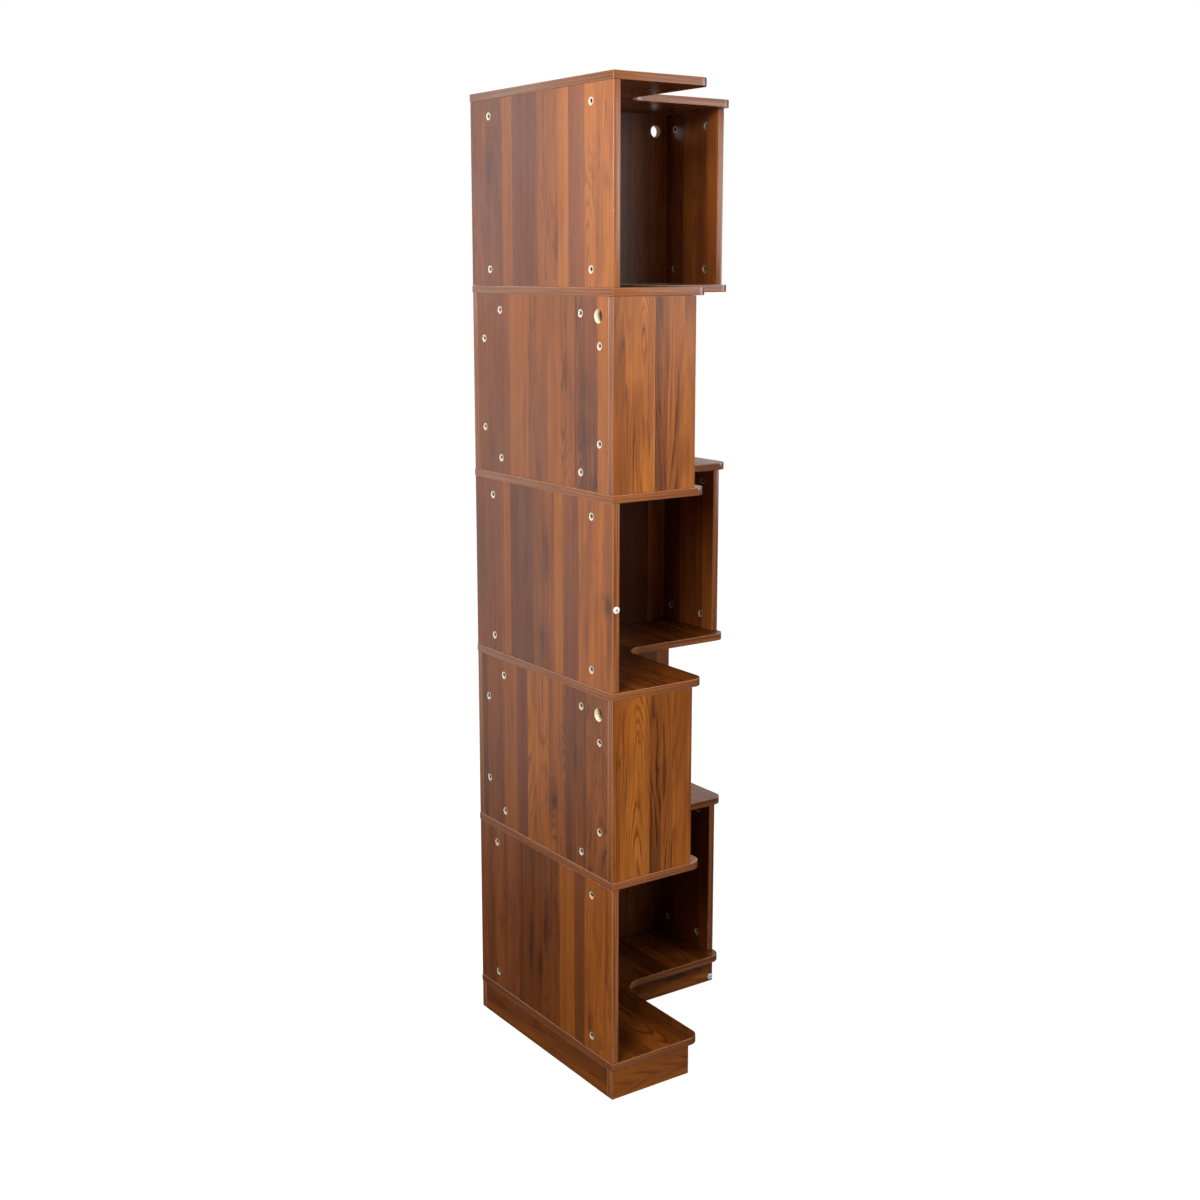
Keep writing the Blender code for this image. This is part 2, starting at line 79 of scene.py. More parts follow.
class NodeSheet:
    """A short hand for filling one node tree."""

    def __init__(self, tree: NodeTree) -> None:
        """Args:
        tree: the node tree to fill.
        """
        self.tree = tree

    def node(self, kind: str, **settings: object) -> Node:
        """Adds a node.

        Args:
            kind: the node's Blender type name, without its ShaderNode prefix.
            **settings: attributes set on the node.

        Returns:
            The new node.
        """
        made = self.tree.nodes.new(kind if kind.startswith("Node") else f"ShaderNode{kind}")
        for name, value in settings.items():
            setattr(made, name, value)
        return made

    def feed(self, socket: NodeSocket, value: object) -> None:
        """Links a socket into another, or sets its constant.

        Args:
            socket: the input that takes the value.
            value: an output socket, a number or a tuple.
        """
        if isinstance(value, NodeSocket):
            self.tree.links.new(value, socket)
        else:
            socket.default_value = value

    def fill(self, node: Node, *values: object) -> None:
        """Feeds a node's first inputs in their order."""
        for index, value in enumerate(values):
            self.feed(node.inputs[index], value)

    def math(self, operation: str, a: object, b: object = 0.0, clamp: bool = False) -> NodeSocket:
        """Adds a Math node.

        Args:
            operation: the node's operation.
            a: first value or socket.
            b: second value or socket.
            clamp: whether the result is held between 0 and 1.

        Returns:
            Its output.
        """
        made = self.node("Math", operation=operation, use_clamp=clamp)
        self.fill(made, a, b)
        return made.outputs[0]

    def plus(self, a: object, b: object, clamp: bool = False) -> NodeSocket:
        """Adds two values."""
        return self.math("ADD", a, b, clamp)

    def minus(self, a: object, b: object) -> NodeSocket:
        """Takes the second value from the first."""
        return self.math("SUBTRACT", a, b)

    def times(self, a: object, b: object) -> NodeSocket:
        """Multiplies two values."""
        return self.math("MULTIPLY", a, b)

    def swing(self, noise: NodeSocket, strength: object) -> NodeSocket:
        """Centres a noise on 0 and scales it."""
        return self.times(self.minus(noise, 0.5), strength)

    def step(
        self, value: object, low: float, high: float, to_low: object = 0.0, to_high: object = 1.0
    ) -> NodeSocket:
        """Adds a smooth Map Range node.

        Args:
            value: what is mapped.
            low: input that gives to_low.
            high: input that gives to_high.
            to_low: result at low.
            to_high: result at high.

        Returns:
            Its output.
        """
        made = self.node("MapRange", interpolation_type="SMOOTHSTEP")
        self.fill(made, value, low, high, to_low, to_high)
        return made.outputs[0]

    def vector(self, x: object, y: object, z: object = 0.0) -> NodeSocket:
        """Joins three values or sockets in a vector and returns its socket."""
        made = self.node("CombineXYZ")
        self.fill(made, x, y, z)
        return made.outputs[0]

    def parts(self, vector: NodeSocket) -> tuple[NodeSocket, ...]:
        """Splits a vector in its three values."""
        made = self.node("SeparateXYZ")
        self.fill(made, vector)
        return tuple(made.outputs[:3])

    def where(self) -> NodeSocket:
        """Gives the object coordinates, in metres."""
        return self.node("TexCoord").outputs["Object"]

    def own_map(self) -> tuple[NodeSocket, NodeSocket]:
        """Gives the two values of the piece's own UV map."""
        return self.parts(self.node("UVMap", uv_map=UV_NAME).outputs[0])[:2]

    def noise(
        self, place: NodeSocket, stretch: Triple, detail: float = 2.0, rough: float = 0.5, bend: float = 0.0
    ) -> NodeSocket:
        """Adds smooth noise on stretched coordinates.

        Args:
            place: the coordinates, in metres.
            stretch: cells per metre along each axis.
            detail: number of finer layers.
            rough: strength of the finer layers.
            bend: how much the noise bends itself.

        Returns:
            The noise value, 0 to 1.
        """
        scaled = self.node("VectorMath", operation="MULTIPLY")
        self.fill(scaled, place, stretch)
        made = self.node("TexNoise")
        settings = {"Scale": 1.0, "Detail": detail, "Roughness": rough, "Distortion": bend}
        for label, value in {"Vector": scaled.outputs[0], **settings}.items():
            self.feed(made.inputs[label], value)
        return made.outputs["Fac"]

    def ramp(self, value: NodeSocket, stops: list[tuple[float, Triple]], way: str = "LINEAR") -> NodeSocket:
        """Adds a Color Ramp.

        Args:
            value: position on the ramp, 0 to 1.
            stops: positions and colours in rising order.
            way: how colours run between stops.

        Returns:
            The colour output.
        """
        made = self.node("ValToRGB")
        band = made.color_ramp
        band.interpolation = way
        while len(band.elements) < len(stops):
            band.elements.new(1.0)
        for element, (position, colour) in zip(band.elements, stops):
            element.position = position
            element.color = (*colour, 1.0)
        self.fill(made, value)
        return made.outputs[0]

    def grey(self, value: object) -> NodeSocket:
        """Makes a grey of a value and returns its socket."""
        made = self.node("CombineColor")
        self.fill(made, value, value, value)
        return made.outputs[0]

    def blend(self, factor: object, a: object, b: object, mode: str = "MIX") -> NodeSocket:
        """Mixes two colours.

        Args:
            factor: share of b.
            a: first colour or socket.
            b: second colour or socket.
            mode: how they are combined.

        Returns:
            The mixed colour.
        """
        made = self.node("Mix", data_type="RGBA", blend_type=mode)
        self.feed(made.inputs[0], factor)
        for socket, colour in ((made.inputs[6], a), (made.inputs[7], b)):
            self.feed(socket, colour if isinstance(colour, NodeSocket) else (*colour, 1.0))
        return made.outputs[2]


def new_group(name: str, inputs: dict[str, float], outputs: dict[str, str]) -> tuple[NodeSheet, dict, dict]:
    """Starts a shader node group.

    Args:
        name: the group's name.
        inputs: each value input and its default.
        outputs: each output and what it carries, Color or Float.

    Returns:
        A sheet on its tree, its input sockets and the sockets that take its outputs.
    """
    tree = bpy.data.node_groups.new(name, "ShaderNodeTree")
    for label, start in inputs.items():
        socket = tree.interface.new_socket(label, in_out="INPUT", socket_type="NodeSocketFloat")
        socket.default_value = start
    for label, kind in outputs.items():
        tree.interface.new_socket(label, in_out="OUTPUT", socket_type=f"NodeSocket{kind}")
    sheet = NodeSheet(tree)
    source = sheet.node("NodeGroupInput")
    sink = sheet.node("NodeGroupOutput")
    given = {label: source.outputs[label] for label in inputs}
    return sheet, given, {label: sink.inputs[label] for label in outputs}


@dataclass(frozen=True)
class PrintStrength:
    """How far each layer of the walnut print sways the grain, moves the tone or shows."""

    sway: float = 0.010
    streak: float = 0.31
    streak_by_figure: float = 0.13
    broad: float = 0.22
    fibre: float = 0.26
    late_wood: float = -0.26
    between_lines: float = 0.04
    level_by_streak: float = 0.035
    pore: float = 0.40
    pore_colour: Triple = (0.030, 0.012, 0.006)


BROWN_WALNUT = [
    (0.00, (0.020, 0.005, 0.004)),
    (0.20, (0.085, 0.020, 0.009)),
    (0.40, (0.178, 0.048, 0.018)),
    (0.60, (0.300, 0.091, 0.027)),
    (0.80, (0.440, 0.148, 0.042)),
    (1.00, (0.590, 0.240, 0.085)),
]
RED_WALNUT = [
    (0.00, (0.024, 0.006, 0.001)),
    (0.20, (0.096, 0.023, 0.002)),
    (0.40, (0.202, 0.052, 0.005)),
    (0.60, (0.335, 0.091, 0.008)),
    (0.80, (0.485, 0.145, 0.014)),
    (1.00, (0.640, 0.240, 0.040)),
]


def walnut_group() -> NodeTree:
    """Builds the walnut print: growth lines, streaks, fibres and pores on one plank.

    The growth lines are the level lines of a stretched noise: its value times a count, less the
    whole part, rises slowly and drops at once, as early wood does before the thin dark late wood.
    The plank's tone is moved up and down by the lines, by streaks, soft clouds and fine fibres,
    and then looked up in two rows of walnut colours, a brown one and a red one, that Warmth mixes.

    Returns:
        The node group.
    """
    inputs = {
        "Across": 0.0, "Along": 0.0, "Seed": 0.0, "Tone": 0.5, "Warmth": 0.5, "Figure": 0.5,
        "Rings": 24.0, "Swell": 0.0, "Mark": 0.0,
    }
    outputs = {"Color": "Color", "Height": "Float", "Gloss": "Float"}
    sheet, given, wanted = new_group("walnut_print", inputs, outputs)
    strength = PrintStrength()
    figure = given["Figure"]
    straight = sheet.vector(given["Across"], given["Along"], given["Seed"])
    sway = sheet.swing(sheet.noise(straight, (9.0, 3.2, 1.0), 1.0), strength.sway)
    place = sheet.vector(sheet.plus(given["Across"], sway), given["Along"], given["Seed"])
    fibre = sheet.noise(place, (430.0, 7.0, 1.0), 3.0, 0.65)
    streak = sheet.noise(place, (120.0, 1.6, 1.0), 4.0, 0.72, 0.2)
    broad = sheet.noise(place, (34.0, 1.1, 1.0))
    cloud = sheet.noise(place, (20.0, 3.4, 1.0), 3.0, 0.55, 0.5)
    level = sheet.noise(place, (15.0, 1.5, 1.0), 1.4, 0.4, 0.25)
    level = sheet.plus(level, given["Swell"])
    level = sheet.plus(level, sheet.times(streak, strength.level_by_streak))
    ring = sheet.math("FRACT", sheet.times(level, given["Rings"]))
    late_wood = sheet.times(sheet.step(ring, 0.40, 0.88), sheet.step(ring, 0.90, 1.0, 1.0, 0.0))
    patches = sheet.step(sheet.noise(place, (20.0, 2.4, 1.0), 1.0), 0.36, 0.62, 0.25, 1.0)
    strokes = sheet.step(sheet.noise(place, (85.0, 10.0, 1.0)), 0.34, 0.60, 0.25, 1.0)
    late_wood = sheet.times(sheet.times(late_wood, patches), strokes)
    lines = sheet.times(late_wood, strength.late_wood)
    lines = sheet.plus(lines, sheet.times(patches, strength.between_lines))
    cloud_pull = sheet.step(cloud, 0.62, 0.34, 0.04, -0.12)
    tone = given["Tone"]
    for pull in (
        sheet.swing(streak, sheet.plus(strength.streak, sheet.times(figure, strength.streak_by_figure))),
        sheet.swing(broad, strength.broad),
        sheet.swing(fibre, strength.fibre),
        sheet.times(cloud_pull, sheet.math("MINIMUM", figure, 1.0)),
        sheet.times(lines, figure),
    ):
        tone = sheet.plus(tone, pull)
    tone = sheet.minus(tone, sheet.times(given["Mark"], sheet.step(streak, 0.25, 0.7, 1.15, 0.75)))
    pull = sheet.plus(sheet.times(streak, 0.5), sheet.times(cloud, 0.4))
    warm = sheet.plus(given["Warmth"], sheet.minus(pull, 0.45), clamp=True)
    colour = sheet.blend(warm, sheet.ramp(tone, BROWN_WALNUT), sheet.ramp(tone, RED_WALNUT))
    pore = sheet.step(sheet.noise(place, (1300.0, 60.0, 1.0), 1.0), 0.28, 0.40, 1.0, 0.0)
    pore = sheet.times(pore, sheet.step(streak, 0.62, 0.38))
    colour = sheet.blend(sheet.times(pore, strength.pore), colour, strength.pore_colour)
    sheet.feed(wanted["Color"], colour)
    sheet.feed(wanted["Height"], sheet.minus(sheet.times(fibre, 0.35), pore))
    sheet.feed(wanted["Gloss"], sheet.plus(sheet.times(fibre, 0.14), sheet.times(pore, 0.15)))
    return sheet.tree


def mark_group() -> NodeTree:
    """Builds one dark mark of the print, such as a knot or a flame.

    The mark is a bell: e to the power of minus the squared distance from its centre, where across
    and along are measured in its own widths and heights, on coordinates that a noise bends. A
    bell three times as wide, and less bent, swells the growth lines round it.

    Returns:
        The node group.
    """
    inputs = {
        "Across": 0.0, "Along": 0.0, "Centre across": 0.0, "Centre along": 0.0,
        "Width": 0.01, "Height": 0.03, "Depth": 0.3, "Swirl": 0.06,
    }
    sheet, given, wanted = new_group("print_mark", inputs, {"Mark": "Float", "Swell": "Float"})
    place = sheet.vector(given["Across"], given["Along"])
    ways = []
    axes = (("across", "Width", (55.0, 14.0, 1.0), 2.6), ("along", "Height", (40.0, 9.0, 1.0), 2.0))
    for way, size, stretch, most in axes:
        off = sheet.minus(given[way.capitalize()], given[f"Centre {way}"])
        ways.append((sheet.math("DIVIDE", off, given[size]), sheet.noise(place, stretch), most))
    for fall, unrest, output, strength in ((-1.0, 1.0, "Mark", "Depth"), (-0.11, 0.3, "Swell", "Swirl")):
        squares = []
        for off, bend, most in ways:
            bent = sheet.plus(off, sheet.swing(bend, most * unrest))
            squares.append(sheet.times(bent, bent))
        bell = sheet.math("EXPONENT", sheet.times(sheet.plus(*squares), fall))
        sheet.feed(wanted[output], sheet.times(bell, given[strength]))
    return sheet.tree


def wear_group() -> NodeTree:
    """Builds the faint handling marks that every finish shares: a cloudy smear in the gloss.

    Returns:
        The node group, whose one output is 0 to 1.
    """
    sheet, given, wanted = new_group("handling_smear", {"Strength": 1.0}, {"Smear": "Float"})
    where = sheet.where()
    broad = sheet.noise(where, (9.0, 9.0, 6.0), 4.0, 0.6, 0.8)
    fine = sheet.noise(where, (60.0, 60.0, 40.0))
    mixed = sheet.plus(sheet.times(broad, 0.75), sheet.times(fine, 0.25))
    sheet.feed(wanted["Smear"], sheet.times(sheet.step(mixed, 0.35, 0.7), given["Strength"]))
    return sheet.tree


@dataclass(frozen=True)
class Workshop:
    """The node groups that the finishes share."""

    walnut: NodeTree
    mark: NodeTree
    wear: NodeTree


def new_material(name: str) -> tuple[Material, NodeSheet, Node]:
    """Starts a material.

    Args:
        name: its name.

    Returns:
        The material, a sheet on its tree and its Principled BSDF.
    """
    made = bpy.data.materials.new(name)
    made.use_nodes = True
    return made, NodeSheet(made.node_tree), made.node_tree.nodes["Principled BSDF"]


def place_group(sheet: NodeSheet, tree: NodeTree, values: dict[str, object]) -> Node:
    """Places a node group in a material.

    Args:
        sheet: the sheet of the material's tree.
        tree: the group.
        values: a value or socket for each input, by name.

    Returns:
        The group's node.
    """
    made = sheet.node("Group", node_tree=tree)
    for label, value in values.items():
        sheet.feed(made.inputs[label], value)
    return made


@dataclass(frozen=True)
class Coat:
    """What a finish's own nodes put out; height is 0 to 1."""

    colour: NodeSocket
    rough: object
    height: NodeSocket
    metal: object = 0.0


@dataclass(frozen=True, kw_only=True)
class Finish:
    """What all finishes have: roughness, specular level, smear, and their relief's depth and strength."""

    name: str
    roughness: float
    specular: float = 0.5
    smear: float = 0.0
    depth: float = 0.00005
    relief: float = 0.5

    def paint(self, sheet: NodeSheet, shop: Workshop) -> Coat:
        """Lays out the finish's own nodes; each finish has its own way.

        Args:
            sheet: the material's sheet.
            shop: the shared node groups.

        Returns:
            What they put out.
        """
        raise NotImplementedError

    def material(self, shop: Workshop) -> Material:
        """Builds the material.

        Args:
            shop: the shared node groups.

        Returns:
            The material.
        """
        made, sheet, shader = new_material(self.name)
        coat = self.paint(sheet, shop)
        rough = coat.rough
        if self.smear:
            rough = sheet.plus(rough, place_group(sheet, shop.wear, {"Strength": self.smear}).outputs[0])
        bump = sheet.node("Bump")
        for node, label, value in (
            (shader, "Base Color", coat.colour),
            (shader, "Roughness", rough),
            (shader, "Specular IOR Level", self.specular),
            (shader, "Metallic", coat.metal),
            (bump, "Distance", self.depth),
            (bump, "Strength", self.relief),
            (bump, "Height", coat.height),
            (shader, "Normal", bump.outputs[0]),
        ):
            sheet.feed(node.inputs[label], value)
        return made


@dataclass(frozen=True)
class Plank:
    """One plank of the print: its width in millimetres, and how light, red and figured it is."""

    width: float
    tone: float
    warmth: float
    figure: float


@dataclass(frozen=True)
class Mark:
    """A dark mark in the print: its centre on the board, width and height in millimetres, depth and swirl."""

    across: float
    along: float
    width: float
    height: float
    depth: float
    swirl: float = 0.05

    def inputs(self) -> dict[str, float]:
        """Gives the mark group's inputs, with lengths in metres."""
        return {
            "Centre across": self.across / MILLIMETRES,
            "Centre along": self.along / MILLIMETRES,
            "Width": self.width / MILLIMETRES,
            "Height": self.height / MILLIMETRES,
            "Depth": self.depth,
            "Swirl": self.swirl,
        }


@dataclass(frozen=True, kw_only=True)
class WalnutLaminate(Finish):
    """Satin laminate printed with walnut planks side by side."""

    planks: tuple[Plank, ...]
    marks: tuple[Mark, ...] = ()
    seed: float = 0.0
    shift: float = 0.0
    rings: float = 24.0
    tone_in_seed: float = 31.0
    warmth_in_seed: float = 17.0
    roughness: float = 0.26
    specular: float = 0.6
    smear: float = 0.10
    depth: float = 0.00008

    def paint(self, sheet: NodeSheet, shop: Workshop) -> Coat:
        """Lays out the print.

        The planks are the steps of a colour ramp across the board, which hold tone, warmth and
        figure in place of red, green and blue.

        Args:
            sheet: the material's sheet.
            shop: the shared node groups.

        Returns:
            The printed colour, its gloss and its relief.
        """
        across, along = sheet.own_map()
        total = sum(plank.width for plank in self.planks) / MILLIMETRES
        starts = np.cumsum([0.0] + [plank.width for plank in self.planks[:-1]]) / MILLIMETRES / total
        traits = [(plank.tone, plank.warmth, plank.figure) for plank in self.planks]
        stops = list(zip(starts.tolist(), traits))
        split = sheet.node("SeparateColor")
        sheet.fill(split, sheet.ramp(sheet.math("DIVIDE", across, total), stops, "CONSTANT"))
        tone, warmth, figure = split.outputs[:3]
        own = sheet.plus(sheet.times(tone, self.tone_in_seed), sheet.times(warmth, self.warmth_in_seed))
        swell: object = 0.0
        dark: object = 0.0
        for mark in self.marks:
            spot = place_group(sheet, shop.mark, {"Across": across, "Along": along, **mark.inputs()})
            dark = sheet.plus(dark, spot.outputs["Mark"])
            swell = sheet.plus(swell, spot.outputs["Swell"])
        values = {
            "Across": across,
            "Along": sheet.plus(along, self.shift),
            "Seed": sheet.plus(own, self.seed),
            "Tone": tone,
            "Warmth": warmth,
            "Figure": figure,
            "Rings": self.rings,
            "Swell": swell,
            "Mark": dark,
        }
        made = place_group(sheet, shop.walnut, values).outputs
        return Coat(made["Color"], sheet.plus(made["Gloss"], self.roughness), made["Height"])


@dataclass(frozen=True, kw_only=True)
class EdgeBand(Finish):
    """Plain brown edging with fine lines along it, lighter along its arrises: partly the paler trimmed band,
    partly a painted highlight.

    A board's wall sides carry painted shade, a darker strip from wall_shade_from metres along the edge.
    """

    profile: float
    # shade: the whole band darkened by painted shade, for shaded copies of it
    shade: float = 1.0
    wall_shade_from: float = 9.0
    wall_shade: float = 0.22
    arris_strength: float = 0.3
    arris_width: float = 0.0016
    colour: Triple = (0.400, 0.134, 0.043)
    lighter: float = 1.35
    line: Triple = (0.190, 0.058, 0.018)
    # painted highlight along the arrises, partly the paler colour where the band is trimmed
    arris: Triple = (0.640, 0.330, 0.160)
    roughness: float = 0.20
    specular: float = 0.6
    smear: float = 0.10
    relief: float = 0.4

    def paint(self, sheet: NodeSheet, shop: Workshop) -> Coat:
        """Lays out the band; the UV map runs along the edge and across it, in metres.

        Args:
            sheet: the material's sheet.
            shop: the shared node groups.

        Returns:
            The band's colour and its lines as relief.
        """
        along, across = sheet.own_map()
        place = sheet.vector(along, across)
        lines = sheet.noise(place, (3.5, 330.0, 1.0), 2.0, 0.6, 0.1)
        broad = sheet.noise(place, (2.2, 60.0, 1.0))
        colour = sheet.blend(sheet.step(lines, 0.36, 0.62, 1.0, 0.0), self.colour, self.line)
        light = tuple(self.lighter * value for value in self.colour)
        colour = sheet.blend(sheet.step(broad, 0.35, 0.75, 0.0, 0.35), colour, light)
        # painted shade: the band is darkened on the wall sides and as a whole by its shade
        on_wall_side = sheet.math("GREATER_THAN", along, self.wall_shade_from)
        shade = sheet.minus(self.shade, sheet.times(on_wall_side, self.wall_shade))
        colour = sheet.blend(1.0, colour, sheet.grey(shade), "MULTIPLY")
        half = self.profile / 2.0
        from_middle = sheet.math("ABSOLUTE", sheet.minus(across, half))
        # painted highlight, partly the paler trimmed band: the arris strips are lightened
        trim_and_highlight = sheet.step(from_middle, half - self.arris_width, half - self.arris_width / 2.0)
        breaks = sheet.noise(place, (38.0, 4.0, 1.0))
        trim_and_highlight = sheet.times(trim_and_highlight, sheet.step(breaks, 0.25, 0.6, 0.55, 1.0))
        colour = sheet.blend(sheet.times(trim_and_highlight, self.arris_strength), colour, self.arris)
        return Coat(colour, self.roughness, lines)


@dataclass(frozen=True, kw_only=True)
class RawChipboard(Finish):
    """Bare core of a board, seen in a hole: pale flakes pressed together."""

    name: str = "raw_chipboard"
    flakes: float = 520.0
    roughness: float = 0.9
    specular: float = 0.15
    depth: float = 0.0003
    relief: float = 0.6

    def paint(self, sheet: NodeSheet, shop: Workshop) -> Coat:
        """Lays out the core; flakes are cells with a shade each, over a dusty noise.

        Args:
            sheet: the material's sheet.
            shop: the shared node groups.

        Returns:
            The core's colour and relief.
        """
        where = sheet.where()
        cells = sheet.node("TexVoronoi", feature="F1")
        sheet.feed(cells.inputs["Vector"], where)
        sheet.feed(cells.inputs["Scale"], self.flakes)
        shade = sheet.node("SeparateColor")
        sheet.fill(shade, cells.outputs["Color"])
        dust = sheet.noise(where, (900.0, 900.0, 900.0), 2.0, 0.6)
        tone = sheet.plus(sheet.times(shade.outputs[0], 0.6), sheet.times(dust, 0.4))
        colour = sheet.ramp(tone, [
            (0.0, (0.55, 0.36, 0.19)),
            (0.35, (0.82, 0.64, 0.42)),
            (0.7, (0.92, 0.78, 0.57)),
            (1.0, (0.96, 0.88, 0.72)),
        ])
        return Coat(colour, self.roughness, tone)


@dataclass(frozen=True, kw_only=True)
class CastZinc(Finish):
    """Die-cast zinc: pale grey metal, dull and a little mottled, darkened down in the recess by painted
    shade.
    """

    name: str = "cast_zinc"
    colour: Triple = (0.95, 0.88, 0.78)
    mottled: Triple = (0.52, 0.49, 0.45)
    # painted shade: near black laid into the cam's recess, where shade falls
    painted_recess_shade: Triple = (0.030, 0.024, 0.020)
    roughness: float = 0.42
    smear: float = 0.12
    depth: float = 0.00006

    def paint(self, sheet: NodeSheet, shop: Workshop) -> Coat:
        """Lays out the metal; the UV map's second value is how much painted shade darkens a point in the
        recess.

        Args:
            sheet: the material's sheet.
            shop: the shared node groups.

        Returns:
            The metal's colour and relief.
        """
        mottle = sheet.noise(sheet.where(), (800.0, 800.0, 800.0), 3.0, 0.6)
        colour = sheet.blend(sheet.step(mottle, 0.35, 0.7, 0.0, 0.3), self.colour, self.mottled)
        return Coat(sheet.blend(sheet.own_map()[1], colour, self.painted_recess_shade), self.roughness, mottle, 1.0)


@dataclass(frozen=True, kw_only=True)
class MouldedPlastic(Finish):
    """White moulded plastic with a faint texture, and a steel nail head in the middle."""

    name: str = "white_moulded_plastic"
    colour: Triple = (0.95, 0.94, 0.91)
    dusty: Triple = (0.70, 0.69, 0.66)
    nail: Triple = (0.30, 0.29, 0.28)
    nail_metal: float = 0.8
    roughness: float = 0.34
    smear: float = 0.12
    relief: float = 0.3

    def paint(self, sheet: NodeSheet, shop: Workshop) -> Coat:
        """Lays out the plastic; the UV map's second value is 1 on the nail head.

        Args:
            sheet: the material's sheet.
            shop: the shared node groups.

        Returns:
            The plastic's and the nail's colour, relief and metalness.
        """
        grain = sheet.noise(sheet.where(), (1800.0, 1800.0, 1800.0))
        on_nail = sheet.own_map()[1]
        colour = sheet.blend(sheet.step(grain, 0.4, 0.7, 0.0, 0.15), self.colour, self.dusty)
        colour = sheet.blend(on_nail, colour, self.nail)
        return Coat(colour, self.roughness, grain, sheet.times(on_nail, self.nail_metal))


# Meshes: steps round a small corner, radius of an arris, distance under which two points are one,
# and the share of a hole's radius that is surely inside it

EASE_STEPS = 3
ARRIS = 0.0007
SAME_POINT = 1e-7
INSIDE_RIM = 0.999


def grid_quads(rows: int, columns: int) -> np.ndarray:
    """Lists the quads of a grid whose columns close on themselves.

    Quad (i, j) joins columns j and j + 1 of rows i and i + 1, counted so that its normal is the
    column direction crossed with the row direction.

    Args:
        rows: number of rows of points.
        columns: number of points in a row.

    Returns:
        An array of quads by four indices.
    """
    row, column = np.meshgrid(np.arange(rows - 1), np.arange(columns), indexing="ij")
    after = (column + 1) % columns
    quads = np.stack([row * columns + column, row * columns + after,
                      (row + 1) * columns + after, (row + 1) * columns + column], axis=-1)
    return quads.reshape(-1, 4)


class Shell:
    """Collects the patches of one mesh: points, faces, UVs and the finish and shading of each face."""

    def __init__(self) -> None:
        """Starts empty."""
        self.points: list[np.ndarray] = []
        self.faces: list[list[int]] = []
        self.uvs: list[np.ndarray] = []
        self.finishes: list[np.ndarray] = []
        self.smooth: list[np.ndarray] = []
        self.count = 0

    def add_points(self, points: np.ndarray) -> np.ndarray:
        """Adds points.

        Args:
            points: any array whose last axis is x, y, z.

        Returns:
            Their indices in the mesh, in the shape of the array's other axes.
        """
        flat = points.reshape(-1, 3)
        self.points.append(flat)
        indices = self.count + np.arange(len(flat))
        self.count += len(flat)
        return indices.reshape(points.shape[:-1])

    def add_faces(self, faces: np.ndarray, uv: np.ndarray, finish: int, smooth: bool) -> None:
        """Adds faces that all have the same number of corners.

        Args:
            faces: faces by corners, as point indices.
            uv: faces by corners by two.
            finish: index of the faces' material.
            smooth: whether they are shaded smooth.
        """
        self.faces.extend(faces.tolist())
        self.uvs.append(uv.reshape(-1, 2))
        self.finishes.append(np.full(len(faces), finish, np.int32))
        self.smooth.append(np.full(len(faces), smooth, bool))

    def add_grid(self, points: np.ndarray, uv: np.ndarray, finish: int, smooth: bool) -> np.ndarray:
        """Adds a grid whose columns close on themselves.

        Args:
            points: rows by columns by three.
            uv: rows by columns + 1 by two, whose last column is for the closing corners.
            finish: index of the faces' material.
            smooth: whether they are shaded smooth.

        Returns:
            The points' indices, rows by columns.
        """
        rows, columns = points.shape[:2]
        indices = self.add_points(points)
        quads = indices.reshape(-1)[grid_quads(rows, columns)]
        row, column = np.meshgrid(np.arange(rows - 1), np.arange(columns), indexing="ij")
        low = (uv[row, column], uv[row, column + 1])
        high = (uv[row + 1, column + 1], uv[row + 1, column])
        self.add_faces(quads, np.stack([*low, *high], axis=2).reshape(-1, 4, 2), finish, smooth)
        return indices

    def add_turned(self, points: np.ndarray, value: np.ndarray) -> None:
        """Adds a turned form in the first finish, smooth, with a flat face at both ends.

        Args:
            points: rings of points, from the foot to the top.
            value: the UV map's second value on each ring; it is 0 on the foot's face and 1 on the top's.
        """
        around = np.linspace(0.0, 1.0, points.shape[1] + 1)
        indices = self.add_grid(points, np.stack(np.meshgrid(around, value), axis=2), 0, True)
        for ring, end_value in ((indices[0][::-1], 0.0), (indices[-1], 1.0)):
            self.add_faces(ring[None], np.full((1, len(ring), 2), end_value), 0, False)

    def finish(self, name: str, place: Matrix, materials: list[Material]) -> Object:
        """Makes the mesh and its object, with its place in the mesh.

        Args:
            name: the object's name.
            place: takes the collected points to the model's frame.
            materials: one for each finish index.

        Returns:
            The object, at the origin.
        """
        points = np.concatenate(self.points)
        turn = np.array(place)
        world = points @ turn[:3, :3].T + turn[:3, 3]
        mesh = bpy.data.meshes.new(name)
        mesh.from_pydata(world.tolist(), [], self.faces)
        layer = mesh.uv_layers.new(name=UV_NAME)
        layer.data.foreach_set("uv", np.concatenate(self.uvs).astype(np.float32).reshape(-1))
        mesh.polygons.foreach_set("material_index", np.concatenate(self.finishes))
        mesh.polygons.foreach_set("use_smooth", np.concatenate(self.smooth))
        for material in materials:
            mesh.materials.append(material)
        mesh.update()
        made = bpy.data.objects.new(name, mesh)
        bpy.context.scene.collection.objects.link(made)
        return made


